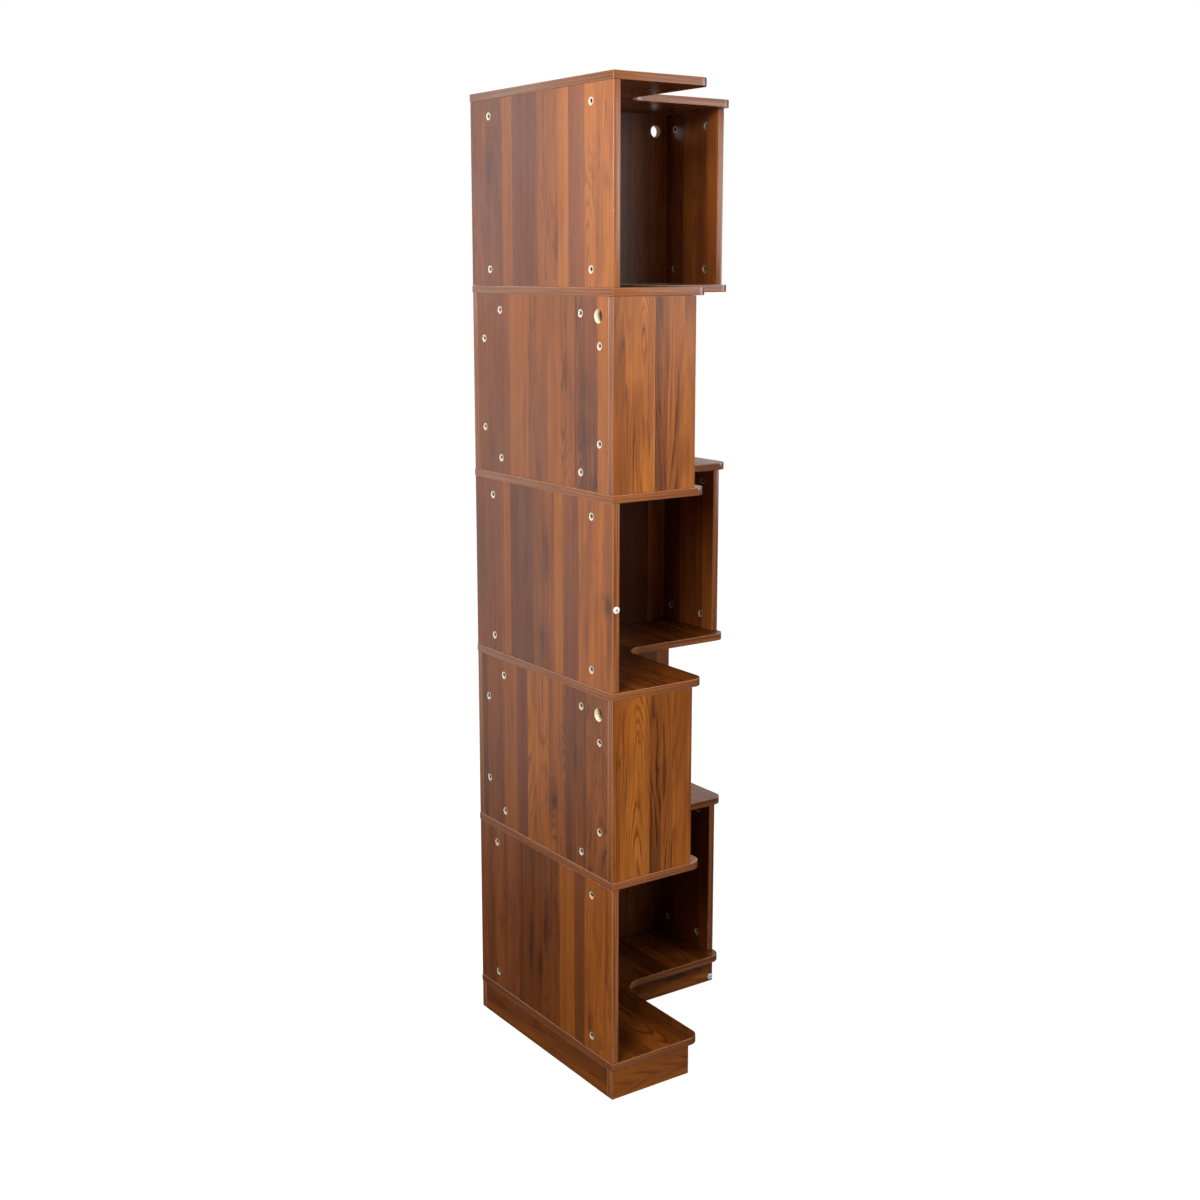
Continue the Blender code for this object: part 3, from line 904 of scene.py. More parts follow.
@dataclass(frozen=True)
class Outline:
    """A closed outline, counted anticlockwise, with the outward normal at each point."""

    points: np.ndarray
    normals: np.ndarray

    @classmethod
    def rounded(cls, corners: list[tuple[float, float, float, int]]) -> "Outline":
        """Rounds each corner of a right-angled outline with an arc.

        An arc's centre is the corner moved by the radius along both its edges. From there its
        points go out by the radius, from the edge before to the edge after, in a cosine of the one
        and a sine of the other.

        Args:
            corners: x, y, radius and number of steps of each corner, anticlockwise.

        Returns:
            The outline.
        """
        sharp = np.array([corner[:2] for corner in corners], float)
        points, normals = [], []
        for index, (_, _, radius, steps) in enumerate(corners):
            before = sharp[index - 1] - sharp[index]
            after = sharp[(index + 1) % len(corners)] - sharp[index]
            before, after = before / np.linalg.norm(before), after / np.linalg.norm(after)
            turn = np.linspace(0.0, RIGHT_ANGLE, steps + 1)[:, None]
            spoke = -(after * np.cos(turn) + before * np.sin(turn))
            points.append(sharp[index] + (before + after) * radius + spoke * radius)
            convex = before[0] * after[1] - before[1] * after[0] < 0.0
            normals.append(spoke if convex else -spoke)
        return cls(np.concatenate(points), np.concatenate(normals))

    @classmethod
    def rectangle(cls, width: float, height: float, radius: float) -> "Outline":
        """Makes a rectangle from the origin, with its corners eased by the radius."""
        corners = ((0.0, 0.0), (width, 0.0), (width, height), (0.0, height))
        return cls.rounded([(x, y, radius, EASE_STEPS) for x, y in corners])

    def travelled(self) -> np.ndarray:
        """Gives the length along the outline to each point, and at the end the whole length."""
        gaps = np.linalg.norm(np.roll(self.points, -1, axis=0) - self.points, axis=1)
        return np.concatenate([[0.0], np.cumsum(gaps)])


@dataclass(frozen=True)
class Pocket:
    """A round hole in a board's face: its centre on the board, radius, depth and side."""

    across: float
    height: float
    radius: float
    depth: float
    side: Side
    facets: int = 40

    def ring(self) -> np.ndarray:
        """Gives the rim's points: centre plus the radius times cosine and sine."""
        turn = np.linspace(0.0, FULL_TURN, self.facets, endpoint=False)
        x = self.across + self.radius * np.cos(turn)
        return np.stack([x, self.height + self.radius * np.sin(turn)], axis=1)


@dataclass
class Board:
    """A flat laminated board with banded edges, and holes through which its core shows."""

    node: str
    outline: Outline
    thickness: float
    place: Matrix
    grain: Grain = Grain.UPRIGHT
    pockets: list[Pocket] = field(default_factory=list)
    arris: float = ARRIS
    arris_steps: int = 4

    def profile(self) -> np.ndarray:
        """Gives the edge's profile from the back face to the front one.

        Each arris is a quarter circle: inset = radius less radius times sine, and height = half
        the thickness less radius plus radius times cosine, mirrored for the back.

        Returns:
            Rows of inset and height.
        """
        turn = np.linspace(0.0, RIGHT_ANGLE, self.arris_steps + 1)
        inset = self.arris * (1.0 - np.sin(turn))
        height = self.thickness / 2.0 - self.arris * (1.0 - np.cos(turn))
        front = np.stack([inset, height], axis=1)[::-1]
        return np.concatenate([front[::-1] * (1.0, -1.0), front])

    def face(self, shell: Shell, rim: np.ndarray, side: Side) -> dict[int, np.ndarray]:
        """Fills one face between the board's rim and the rims of its holes.

        Args:
            shell: takes the faces.
            rim: indices of the rim's points on this face.
            side: which face.

        Returns:
            The indices of each hole's rim, by the hole's place in the list.
        """
        height = side.value * self.thickness / 2.0
        holes = {i: p for i, p in enumerate(self.pockets) if p.side in (side, Side.THROUGH)}
        loops = [self.outline.points - self.outline.normals * self.arris] + [p.ring() for p in holes.values()]
        rims = {}
        indices = [rim]
        for key, pocket in holes.items():
            ring = pocket.ring()
            rims[key] = shell.add_points(np.column_stack([ring, np.full(len(ring), height)]))
            indices.append(rims[key])
        flat = np.concatenate(loops)
        lookup = np.concatenate(indices)
        edges, start = [], 0
        for loop in loops:
            step = start + np.arange(len(loop))
            edges.extend(np.stack([step, np.roll(step, -1)], axis=1).tolist())
            start += len(loop)
        result = geometry.delaunay_2d_cdt([Vector(p) for p in flat.tolist()], edges, [], 1, SAME_POINT)
        original = np.array([ids[0] for ids in result[3]])
        triangles = original[np.array(result[2])]
        middle = flat[triangles].mean(axis=1)
        keep = np.ones(len(triangles), bool)
        for pocket in holes.values():
            away = np.hypot(middle[:, 0] - pocket.across, middle[:, 1] - pocket.height)
            keep &= away > pocket.radius * INSIDE_RIM
        triangles = triangles[keep]
        corner = flat[triangles]
        area = np.cross(corner[:, 1] - corner[:, 0], corner[:, 2] - corner[:, 0])
        turned = area * side.value < 0.0
        triangles[turned] = triangles[turned][:, ::-1]
        uv = flat[triangles] if self.grain is Grain.UPRIGHT else flat[triangles][:, :, ::-1]
        shell.add_faces(lookup[triangles], uv, 0, False)
        return rims

    def bore(self, shell: Shell, rims: dict[Side, dict[int, np.ndarray]]) -> None:
        """Adds the walls and floors of the holes, in bare core.

        Args:
            shell: takes the faces.
            rims: for each face, the rims of its holes.
        """
        for key, pocket in enumerate(self.pockets):
            ring = pocket.ring()
            through = pocket.side is Side.THROUGH
            side = Side.FRONT if through else pocket.side
            top = side.value * self.thickness / 2.0
            low = -top if through else top - side.value * pocket.depth
            if through:
                lower = rims[Side.BACK][key]
            else:
                lower = shell.add_points(np.column_stack([ring, np.full(len(ring), low)]))
            rows = np.concatenate([lower, rims[side][key]])
            quads = rows[grid_quads(2, pocket.facets)]
            uv = np.zeros((len(quads), 4, 2))
            shell.add_faces(quads[:, ::-1] if side is Side.FRONT else quads, uv, 2, True)
            if through:
                continue
            centre = shell.add_points(np.array([[pocket.across, pocket.height, low]]))[0]
            fan = np.stack([np.full(pocket.facets, centre), lower, np.roll(lower, -1)], axis=1)
            fan = fan if side is Side.FRONT else fan[:, ::-1]
            shell.add_faces(fan, np.zeros((pocket.facets, 3, 2)), 2, False)

    def build(self, materials: list[Material]) -> Object:
        """Builds the board: banded edge all round, two faces, and its holes.

        Args:
            materials: laminate, edge band and core.

        Returns:
            The board's object.
        """
        shell = Shell()
        profile = self.profile()
        inset, height = profile[:, :1, None], profile[:, 1:, None]
        flat = self.outline.points[None] - self.outline.normals[None] * inset
        points = np.concatenate([flat, np.broadcast_to(height, (*flat.shape[:2], 1))], axis=2)
        rise = np.concatenate([[0.0], np.cumsum(np.linalg.norm(np.diff(profile, axis=0), axis=1))])
        along, across = np.meshgrid(self.outline.travelled(), rise)
        indices = shell.add_grid(points, np.stack([along, across], axis=2), 1, True)
        ends = ((Side.BACK, indices[0]), (Side.FRONT, indices[-1]))
        self.bore(shell, {side: self.face(shell, rim, side) for side, rim in ends})
        return shell.finish(f"{self.node}_board", self.place, materials)

    @staticmethod
    def profile_length(thickness: float, arris: float = ARRIS) -> float:
        """Gives the length of an edge's profile: its flat part and two quarter circles."""
        return thickness - 2.0 * arris + math.pi * arris


# Parts of the bookcase


@dataclass(frozen=True)
class Wing:
    """One arm of the L: along its wall from the corner, and out into the room."""

    name: str
    along: Vector
    out: Vector

    def point(self, along: float, out: float, height: float) -> Vector:
        """Gives the point that far along the wall, out from it and up."""
        return CORNER + self.along * along + self.out * out + UP * height


LEFT = Wing("left", Vector((0.0, -1.0, 0.0)), Vector((1.0, 0.0, 0.0)))
RIGHT = Wing("right", Vector((1.0, 0.0, 0.0)), Vector((0.0, -1.0, 0.0)))


def standing(origin: Vector, across: Vector) -> Matrix:
    """Places an upright board.

    Args:
        origin: its lower left corner, in the middle of its thickness.
        across: its horizontal direction; its normal is that crossed with up.

    Returns:
        The matrix from the board's own x, y and normal to the model.
    """
    place = Matrix((across, UP, across.cross(UP))).transposed().to_4x4()
    place.translation = origin
    return place


@dataclass(frozen=True)
class Sizes:
    """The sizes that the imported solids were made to."""

    wing_length: float = 0.500
    wing_depth: float = 0.220
    tiers: int = 5
    tier_height: float = 0.360
    board: float = 0.015
    plinth_height: float = 0.060
    end_radius: float = 0.025
    inner_radius: float = 0.050
    reveal: float = 0.001
    setback: float = 0.030
    corner_ease: float = 0.0011
    gap: float = 0.0003
    cable_radius: float = 0.013
    cable_end_inset: float = 0.032
    cable_top_inset: float = 0.036
    cam_setback: float = 0.032
    side_cam_setback: float = 0.028
    side_cam_height: float = 0.090
    long_cam_inset: float = 0.070
    short_cam_inset: float = 0.090
    end_cam_inset: float = 0.040
    pocket_radius: float = 0.0077
    pocket_depth: float = 0.0128

    def shelf_underside(self, level: int) -> float:
        """Gives the height of a shelf's underside."""
        return self.plinth_height + level * (self.tier_height + self.board)

    def shelf_top(self, level: int) -> float:
        """Gives the height of a shelf's top."""
        return self.shelf_underside(level) + self.board

    def panel_front(self) -> float:
        """Gives how far end panels and plinth come out from the wall."""
        return self.wing_depth - self.setback

    def end_inner(self) -> float:
        """Gives how far along the wall an end board's inner face lies."""
        return self.wing_length - self.reveal - self.board

    def past_corner(self) -> float:
        """Gives how far along the wall a board begins that meets the other wing's in the corner."""
        return self.reveal + self.board + self.gap


SIZES = Sizes()


@dataclass(frozen=True)
class Cam:
    """A zinc cam: a turned disc with an eased rim and a cross recess for the screwdriver.

    Its rings after the rim are rows of a share of the radius or of the cross, a depth under the
    top, and how much painted shade darkens them in the recess.
    """

    radius: float = 0.0071
    sink: float = 0.0006
    height: float = 0.0118
    ease: float = 0.0006
    arm: float = 0.0035
    arm_width: float = 0.0034
    flat_rings: tuple[Triple, ...] = ((0.78, 0.0, 0.0), (0.72, 0.00025, 0.0))
    # the third value of each ring is its painted recess shade
    cross_rings: tuple[Triple, ...] = (
        (1.0, 0.00025, 0.15),
        (0.97, 0.0006, 0.9),
        (0.80, 0.0026, 1.0),
        (0.05, 0.0026, 1.0),
    )
    ease_steps: int = 3
    segments: int = 48

    def cross(self, turn: np.ndarray) -> np.ndarray:
        """Gives the recess's edge: the nearer of an arm's end and its flank, for each angle."""
        cosine, sine = np.abs(np.cos(turn)), np.abs(np.sin(turn))
        flank = self.arm_width / 2.0 / np.maximum(np.minimum(cosine, sine), 1e-3)
        return np.minimum(self.arm / np.maximum(cosine, sine), flank)

    def add(self, shell: Shell, place: Matrix) -> None:
        """Adds one cam to a shell.

        Its rows are circles of a radius and a height, from the foot up the side, over the eased
        rim and in to the recess, whose rows follow the cross, and a last small row that a fan closes.

        Args:
            shell: takes the faces.
            place: from the pocket's frame, whose normal leaves the face, to the board's.
        """
        turn = np.linspace(0.0, FULL_TURN, self.segments, endpoint=False)
        top = -self.sink
        circle = np.full(self.segments, self.radius)
        rows = [(circle, top - self.height, 0.0), (circle, top - self.ease, 0.0)]
        for bend in np.linspace(0.0, RIGHT_ANGLE, self.ease_steps + 1)[1:]:
            inset, drop = self.ease * (1.0 - math.cos(bend)), self.ease * (1.0 - math.sin(bend))
            rows.append((circle - inset, top - drop, 0.0))
        for edge, rings in ((circle, self.flat_rings), (self.cross(turn), self.cross_rings)):
            rows += [(edge * share, top - depth, painted_recess_shade) for share, depth, painted_recess_shade in rings]
        radii = np.stack([row[0] for row in rows])
        heights = np.array([row[1] for row in rows])[:, None] * np.ones(self.segments)
        painted_recess_shade = np.array([row[2] for row in rows])
        local = np.stack([radii * np.cos(turn), radii * np.sin(turn), heights], axis=2)
        matrix = np.array(place)
        points = local @ matrix[:3, :3].T + matrix[:3, 3]
        shell.add_turned(points, painted_recess_shade)


@dataclass(frozen=True)
class Glide:
    """A white round glide on a board's edge: a crowned disc with a dished middle and a nail head.

    The nail head is rows of a radius and a depth under the crown, of which the first is white.
    """

    radius: float = 0.0070
    foot_share: float = 0.98
    thickness: float = 0.0030
    rim_share: float = 0.72
    crown_share: float = 0.28
    ease: float = 0.0010
    steps: int = 6
    dish_radius: float = 0.0024
    nail: tuple[tuple[float, float], ...] = (
        (0.0021, 0.0008),
        (0.0019, 0.0008),
        (0.0017, 0.0005),
        (0.0008, 0.0003),
        (0.0001, 0.0003),
    )
    segments: int = 48

    def build(self, name: str, place: Matrix, material: Material) -> Object:
        """Turns the glide's profile, a list of radii and heights, about its axis.

        Args:
            name: the object's name.
            place: its frame, with the disc's back at height 0.
            material: its finish.

        Returns:
            The object.
        """
        bend = np.linspace(0.0, RIGHT_ANGLE, self.steps)
        rim_r = self.radius - self.ease * (1.0 - np.cos(bend))
        rim = np.stack([rim_r, self.thickness * self.rim_share - self.ease * (1.0 - np.sin(bend))], axis=1)
        crown_r = np.linspace(self.radius - self.ease, self.dish_radius, self.steps)[1:]
        crown_z = self.thickness - (self.thickness * self.crown_share) * (crown_r / self.radius) ** 2
        nail = np.array([(radius, self.thickness - depth) for radius, depth in self.nail])
        foot = [[self.radius * self.foot_share, 0.0]]
        profile = np.concatenate([foot, rim, np.stack([crown_r, crown_z], axis=1), nail])
        steel = np.ones(len(nail) - 1)
        turn = np.linspace(0.0, FULL_TURN, self.segments, endpoint=False)
        height = np.broadcast_to(profile[:, 1:], (len(profile), self.segments))
        points = np.stack([profile[:, :1] * np.cos(turn), profile[:, :1] * np.sin(turn), height], axis=2)
        shell = Shell()
        shell.add_turned(points, np.concatenate([np.zeros(len(profile) - len(steel)), steel]))
        return shell.finish(name, place, [material])


@dataclass(frozen=True)
class Finishes:
    """The finishes that several pieces share."""

    shop: Workshop
    front_band: Material
    shaded_side_band: Material
    core: Material
    zinc: Material
    plastic: Material

    @classmethod
    def make(cls) -> "Finishes":
        """Builds them all once."""
        shop = Workshop(walnut_group(), mark_group(), wear_group())
        profile = Board.profile_length(SIZES.board)
        shared = (
            EdgeBand(name="front_edge_band", profile=profile),
            # painted shade: the side band is a darker copy of the front band, on the right wall panels, left
            # end panels and plinth
            EdgeBand(name="side_edge_band", profile=profile, shade=0.75),
            RawChipboard(),
            CastZinc(),
            MouldedPlastic(),
        )
        return cls(shop, *(finish.material(shop) for finish in shared))


def keep(piece: Object, slot: str, *nodes: str) -> None:
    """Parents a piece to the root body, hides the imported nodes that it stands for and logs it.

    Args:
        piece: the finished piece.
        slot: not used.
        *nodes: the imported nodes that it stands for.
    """
    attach(piece, "root")
    if nodes:
        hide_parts(*nodes)
    stands_for = ", ".join(nodes) or "no node"
    LOG.info("%s: %d faces, stands for %s", piece.name, len(piece.data.polygons), stands_for)


def keep_board(board: Board, laminate: WalnutLaminate, band: Material, finishes: Finishes) -> None:
    """Args:
        board: the board.
        laminate: its print.
        band: its edge band.
        finishes: the shared finishes.
    """
    keep(board.build([laminate.material(finishes.shop), band, finishes.core]), "walnut_laminate", board.node)


def cam_frame(pocket: Pocket, thickness: float, quarter: float) -> Matrix:
    """Gives a cam's frame on its board.

    Args:
        pocket: the pocket that it sits in.
        thickness: the board's.
        quarter: the cam's turn about its axis.

    Returns:
        The matrix from the cam's frame to the board's.
    """
    shift = Matrix.Translation((pocket.across, pocket.height, pocket.side.value * thickness / 2.0))
    face = Matrix.Identity(4) if pocket.side is Side.FRONT else Matrix.Rotation(math.pi, 4, "X")
    return shift @ face @ Matrix.Rotation(quarter, 4, "Z")


@dataclass
class Upright:
    """A wall or end panel between two shelves, with the cams that hold it."""

    node: str
    origin: Vector
    across: Vector
    width: float
    planks: tuple[Plank, ...]
    marks: tuple[Mark, ...]
    side: Side
    cam_places: list[tuple[float, float]]
    seed: float
    fronted: bool
    cable: tuple[float, float] | None = None
    cam_nodes: list[str] = field(default_factory=list)
    rings: float = 24.0
    shift_by_seed: float = 0.37
    cable_facets: int = 64

    def build(self, finishes: Finishes) -> None:
        """Args:
            finishes: the shared finishes.
        """
        sunk = (SIZES.pocket_radius, SIZES.pocket_depth, self.side)
        through = (SIZES.cable_radius, SIZES.board, Side.THROUGH, self.cable_facets)
        pockets = [Pocket(*spot, *sunk) for spot in self.cam_places]
        holes = pockets + ([Pocket(*self.cable, *through)] if self.cable else [])
        outline = Outline.rectangle(self.width, SIZES.tier_height - 2.0 * SIZES.gap, SIZES.corner_ease)
        place = standing(self.origin, self.across)
        laminate = WalnutLaminate(
            name=f"walnut_{self.node}",
            planks=self.planks,
            marks=self.marks,
            seed=self.seed,
            shift=self.seed * self.shift_by_seed,
            rings=self.rings,
        )
        band = finishes.front_band if self.fronted else finishes.shaded_side_band
        board = Board(self.node, outline, SIZES.board, place, Grain.UPRIGHT, holes)
        keep_board(board, laminate, band, finishes)
        turns = np.random.default_rng(int(self.seed * 10)).uniform(0.0, RIGHT_ANGLE, len(pockets))
        shells = [Shell() for _ in self.cam_nodes] or [Shell()]
        for index, pocket in enumerate(pockets):
            Cam().add(shells[index % len(shells)], cam_frame(pocket, SIZES.board, float(turns[index])))
        for index, node in enumerate(self.cam_nodes):
            keep(shells[index].finish(f"{node}_cam", place, [finishes.zinc]), "zinc", node)
        if not self.cam_nodes:
            keep(shells[0].finish(f"{self.node}_cams", place, [finishes.zinc]), "zinc")


def planks(rows: tuple[tuple[float, float, float, float], ...], lighter: float = 0.0) -> tuple[Plank, ...]:
    """Turns rows of numbers into planks, lighter by a tone."""
    return tuple(Plank(width, tone + lighter, warmth, figure) for width, tone, warmth, figure in rows)


def marks(rows: tuple[tuple[float, ...], ...]) -> tuple[Mark, ...]:
    """Turns rows of numbers into marks."""
    return tuple(Mark(*row) for row in rows)


def turned_about(rows: tuple, step: int) -> tuple:
    """Starts a board's row of planks further along the printed sheet."""
    step %= len(rows)
    return rows[step:] + rows[:step]


# What the print shows on each board: width, tone, warmth and figure of each plank, from the
# room's corner outwards on a wall panel, and as seen from the front on an end panel. A mark's
# row is its place across and along, width, height, depth and swirl.

LEFT_WALL_PLANKS = {
    5: (
        (119, .40, .30, .6), (38, .51, .55, .2), (87, .33, .15, .2), (74, .49, .50, .5), (34, .66, .55, .1),
        (53, .42, .30, .2), (98, .65, .75, .7),
    ),
    4: (
        (40, .44, .45, .3), (54, .38, .40, .3), (32, .42, .60, .2), (66, .59, .55, .2), (72, .48, .40, .5),
        (92, .54, .70, .8), (76, .34, .35, .8), (38, .63, .75, .3),
    ),
    3: (
        (111, .41, .45, .5), (25, .55, .70, .1), (86, .31, .30, .3), (76, .44, .60, .5), (29, .58, .80, .1),
        (56, .40, .35, .2), (118, .57, .90, .8),
    ),
    2: (
        (21, .24, .40, .3), (67, .41, .40, .3), (51, .50, .70, .2), (40, .35, .40, .2), (80, .59, .90, .8),
        (62, .50, .85, .9), (71, .34, .70, .4), (79, .44, .75, .8),
    ),
    1: (
        (154, .44, .60, .5), (91, .29, .90, .4), (66, .39, 1.0, .6), (55, .54, 1.0, .2), (36, .34, .80, .1),
        (98, .57, 1.0, .8),
    ),
}
LEFT_WALL_MARKS = {
    5: (
        (477, 188, 10, 26, .20, .08), (433, 200, 5, 34, .18, .03), (472, 60, 7, 30, .10),
        (312, 84, 9, 40, .22), (76, 229, 12, 40, .16), (56, 111, 14, 40, .14), (452, 250, 3, 60, .14),
        (462, 110, 3, 60, .12), (492, 240, 3, 50, .12), (330, 120, 4, 60, .12),
    ),
    4: (
        (392, 186, 36, 38, .14, .10), (392, 106, 34, 28, .14, .12), (327, 225, 8, 40, .12),
        (180, 120, 7, 60, .10), (420, 14, 20, 14, .12), (82, 200, 10, 60, .08),
    ),
    3: (
        (480, 165, 13, 20, .30, .12), (446, 150, 7, 46, .16, .03), (410, 104, 7, 40, .14, .03),
        (270, 233, 12, 40, .14), (255, 60, 12, 34, .14), (428, 240, 3, 70, .16), (462, 70, 3, 60, .16),
        (470, 250, 4, 50, .12), (486, 90, 4, 60, .14),
    ),
    2: (
        (279, 106, 7, 11, .34, .05), (276, 118, 22, 36, .16, .16), (203, 300, 8, 40, .14, .06),
        (354, 232, 10, 40, .14), (399, 105, 9, 36, .16), (120, 260, 7, 40, .10),
    ),
    1: (
        (262, 207, 12, 52, .17), (244, 120, 12, 50, .12), (200, 150, 9, 60, .12),
        (424, 62, 9, 26, .20, .10), (436, 262, 7, 34, .14, .05), (448, 170, 3, 70, .16),
        (470, 90, 4, 60, .14), (482, 250, 3, 50, .12),
    ),
}
LEFT_END_PLANKS = {
    4: (
        (28, .58, 1.0, 1.4), (66, .73, 1.0, 1.9), (30, .43, .70, 1.3), (27, .575, .9, 1.4),
        (38, .65, 1.0, 1.2),
    ),
    2: (
        (16, .565, 1.0, 1.3), (71, .71, 1.0, 1.35), (28, .395, 1.0, 1.3), (28, .52, 1.0, 1.4),
        (46, .61, 1.0, 1.3),
    ),
}
LEFT_END_MARKS = {
    4: (
        (69, 299, 2.6, 5, .32, .0), (69, 299, 6, 24, .10, .12), (24, 272, 2.4, 13, .34, .0),
        (66, 60, 12, 120, .0, .55), (111, 224, 9, 5, .10, .0), (149, 216, 1.6, 14, .16, .0),
    ),
    2: (
        (62, 271, 2.6, 5, .34, .0), (62, 271, 6, 24, .10, .12), (16, 236, 2.4, 11, .36, .0),
        (60, 34, 12, 120, .0, .55), (107, 207, 9, 5, .10, .0), (142, 216, 1.6, 14, .16, .0),
    ),
}
RIGHT_END_PLANKS = {
    5: (
        (72, .46, .3, .6), (44, .58, .4, .8), (36, .48, .3, .6), (37, .66, .5, .8),
    ),
    3: (
        (72, .30, .7, .5), (50, .52, .7, .6), (30, .50, .6, .5), (37, .70, .7, .6),
    ),
    1: (
        (60, .28, 1.0, .4), (60, .32, 1.0, .4), (34, .28, 1.0, .3), (35, .34, 1.0, .4),
    ),
}
RIGHT_SHEET = (
    (33, .62, .7, .2), (74, .36, .4, .6), (95, .58, .8, 1.0), (40, .44, .5, .3), (70, .40, .5, .5),
    (52, .56, .6, .3), (88, .38, .4, .4), (61, .50, .6, .8),
)
RIGHT_WALL_PLANKS = {
    5: RIGHT_SHEET[1:5] + ((92, .36, .6, .3), (53, .50, .8, .4), (44, .78, .9, .6)),
    4: RIGHT_SHEET,
    3: turned_about(RIGHT_SHEET, 7)[:4] + ((77, .38, .5, .4), (80, .33, .7, .3), (48, .70, .9, .6)),
    2: turned_about(RIGHT_SHEET, 6),
    1: turned_about(RIGHT_SHEET, 5),
}
SHELF_PLANKS = (
    (58, .46, 1.0, .7), (42, .36, .95, .4), (66, .50, 1.0, .9), (54, .40, .95, .5), (90, .46, 1.0, .9),
    (48, .35, .95, .3), (80, .52, 1.0, .8), (62, .42, .95, .5),
)
PLINTH_PLANKS = (
    (22, .50, 1.0, .7), (20, .44, 1.0, .8), (18, .40, 1.0, .4),
)


@dataclass
class Tier:
    """The uprights between two shelves; odd tiers close the right wing's end, even ones the left's.

    A panel's seed grows by a step from tier to tier, and by a part of it from panel to panel.
    """

    number: int
    seed_step: float = 2.3
    right_seed: float = 1.1
    end_seed: float = 0.6
    left_end_rings: float = 14.0
    right_end_rings: float = 20.0

    def end_pairs(self, low: float, high: float, top: float) -> list[tuple[float, float]]:
        """Lists cam places near both ends of two columns.

        Args:
            low: the first column, from the board's left edge.
            high: the second.
            top: the board's height.

        Returns:
            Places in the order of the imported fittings: top and bottom of each column in turn.
        """
        return [(x, y) for x in (low, high) for y in (top - SIZES.cam_setback, SIZES.cam_setback)]

    def wall_panel(
        self, wing: Wing, start: float, width: float, low: float, height: float, short: bool
    ) -> Upright:
        """Lays out a wing's wall panel.

        Args:
            wing: the wing.
            start: where the panel begins along the wall.
            width: its width.
            low: the height of its foot.
            height: its own height.
            short: whether it meets an end panel, and so has side cams and a cable hole.

        Returns:
            The panel.
        """
        left = wing is LEFT
        inset = SIZES.short_cam_inset if short else SIZES.long_cam_inset
        places = self.end_pairs(inset, width - inset, height)
        names = [f"{end}_{i}" for i in (1, 2) for end in ("top", "bottom")]
        cable = None
        if short:
            for spot, x in (("end", width - SIZES.side_cam_setback), ("corner", SIZES.side_cam_setback)):
                places += [(x, height - SIZES.side_cam_height), (x, SIZES.side_cam_height)]
                names += [f"{spot}_upper", f"{spot}_lower"]
            cable = (width - SIZES.cable_end_inset, height - SIZES.cable_top_inset)
        return Upright(
            node=f"{wing.name}_wall_panel_{self.number}",
            origin=wing.point(start, SIZES.reveal + SIZES.board / 2.0, low),
            across=wing.along,
            width=width,
            planks=planks((LEFT_WALL_PLANKS if left else RIGHT_WALL_PLANKS)[self.number]),
            marks=marks(LEFT_WALL_MARKS[self.number]) if left else (),
            side=Side.FRONT if left else Side.BACK,
            cam_places=places,
            seed=self.number * self.seed_step + (0.0 if left else self.right_seed),
            fronted=left,
            cable=cable,
            cam_nodes=[f"cam_fitting_{self.number}_{name}" for name in names] if left else [],
        )

    def end_panel(self, wing: Wing, low: float, height: float) -> Upright:
        """Lays out the panel that closes a wing's end.

        Args:
            wing: the wing.
            low: the height of the panel's foot.
            height: its own height.

        Returns:
            The panel.
        """
        left = wing is LEFT
        width = SIZES.panel_front() - SIZES.reveal
        return Upright(
            node=f"{wing.name}_end_panel_{self.number}",
            origin=wing.point(SIZES.end_inner() + SIZES.board / 2.0, SIZES.reveal, low),
            across=wing.out,
            width=width,
            planks=planks((LEFT_END_PLANKS if left else RIGHT_END_PLANKS)[self.number]),
            marks=marks(LEFT_END_MARKS[self.number]) if left else (),
            side=Side.BACK if left else Side.FRONT,
            cam_places=self.end_pairs(SIZES.end_cam_inset, width - SIZES.end_cam_inset, height),
            seed=self.number * self.seed_step + self.end_seed,
            fronted=not left,
            rings=self.left_end_rings if left else self.right_end_rings,
        )

    def build(self, finishes: Finishes) -> None:
        """Builds the tier's three panels.

        Args:
            finishes: the shared finishes.
        """
        closed, other = (RIGHT, LEFT) if self.number % 2 else (LEFT, RIGHT)
        low = SIZES.shelf_top(self.number - 1) + SIZES.gap
        height = SIZES.shelf_underside(self.number) - SIZES.gap - low
        start = SIZES.past_corner()
        for panel in (
            self.wall_panel(other, SIZES.reveal, SIZES.wing_length - 2.0 * SIZES.reveal, low, height, False),
            self.wall_panel(closed, start, SIZES.end_inner() - SIZES.gap - start, low, height, True),
            self.end_panel(closed, low, height),
        ):
            panel.build(finishes)


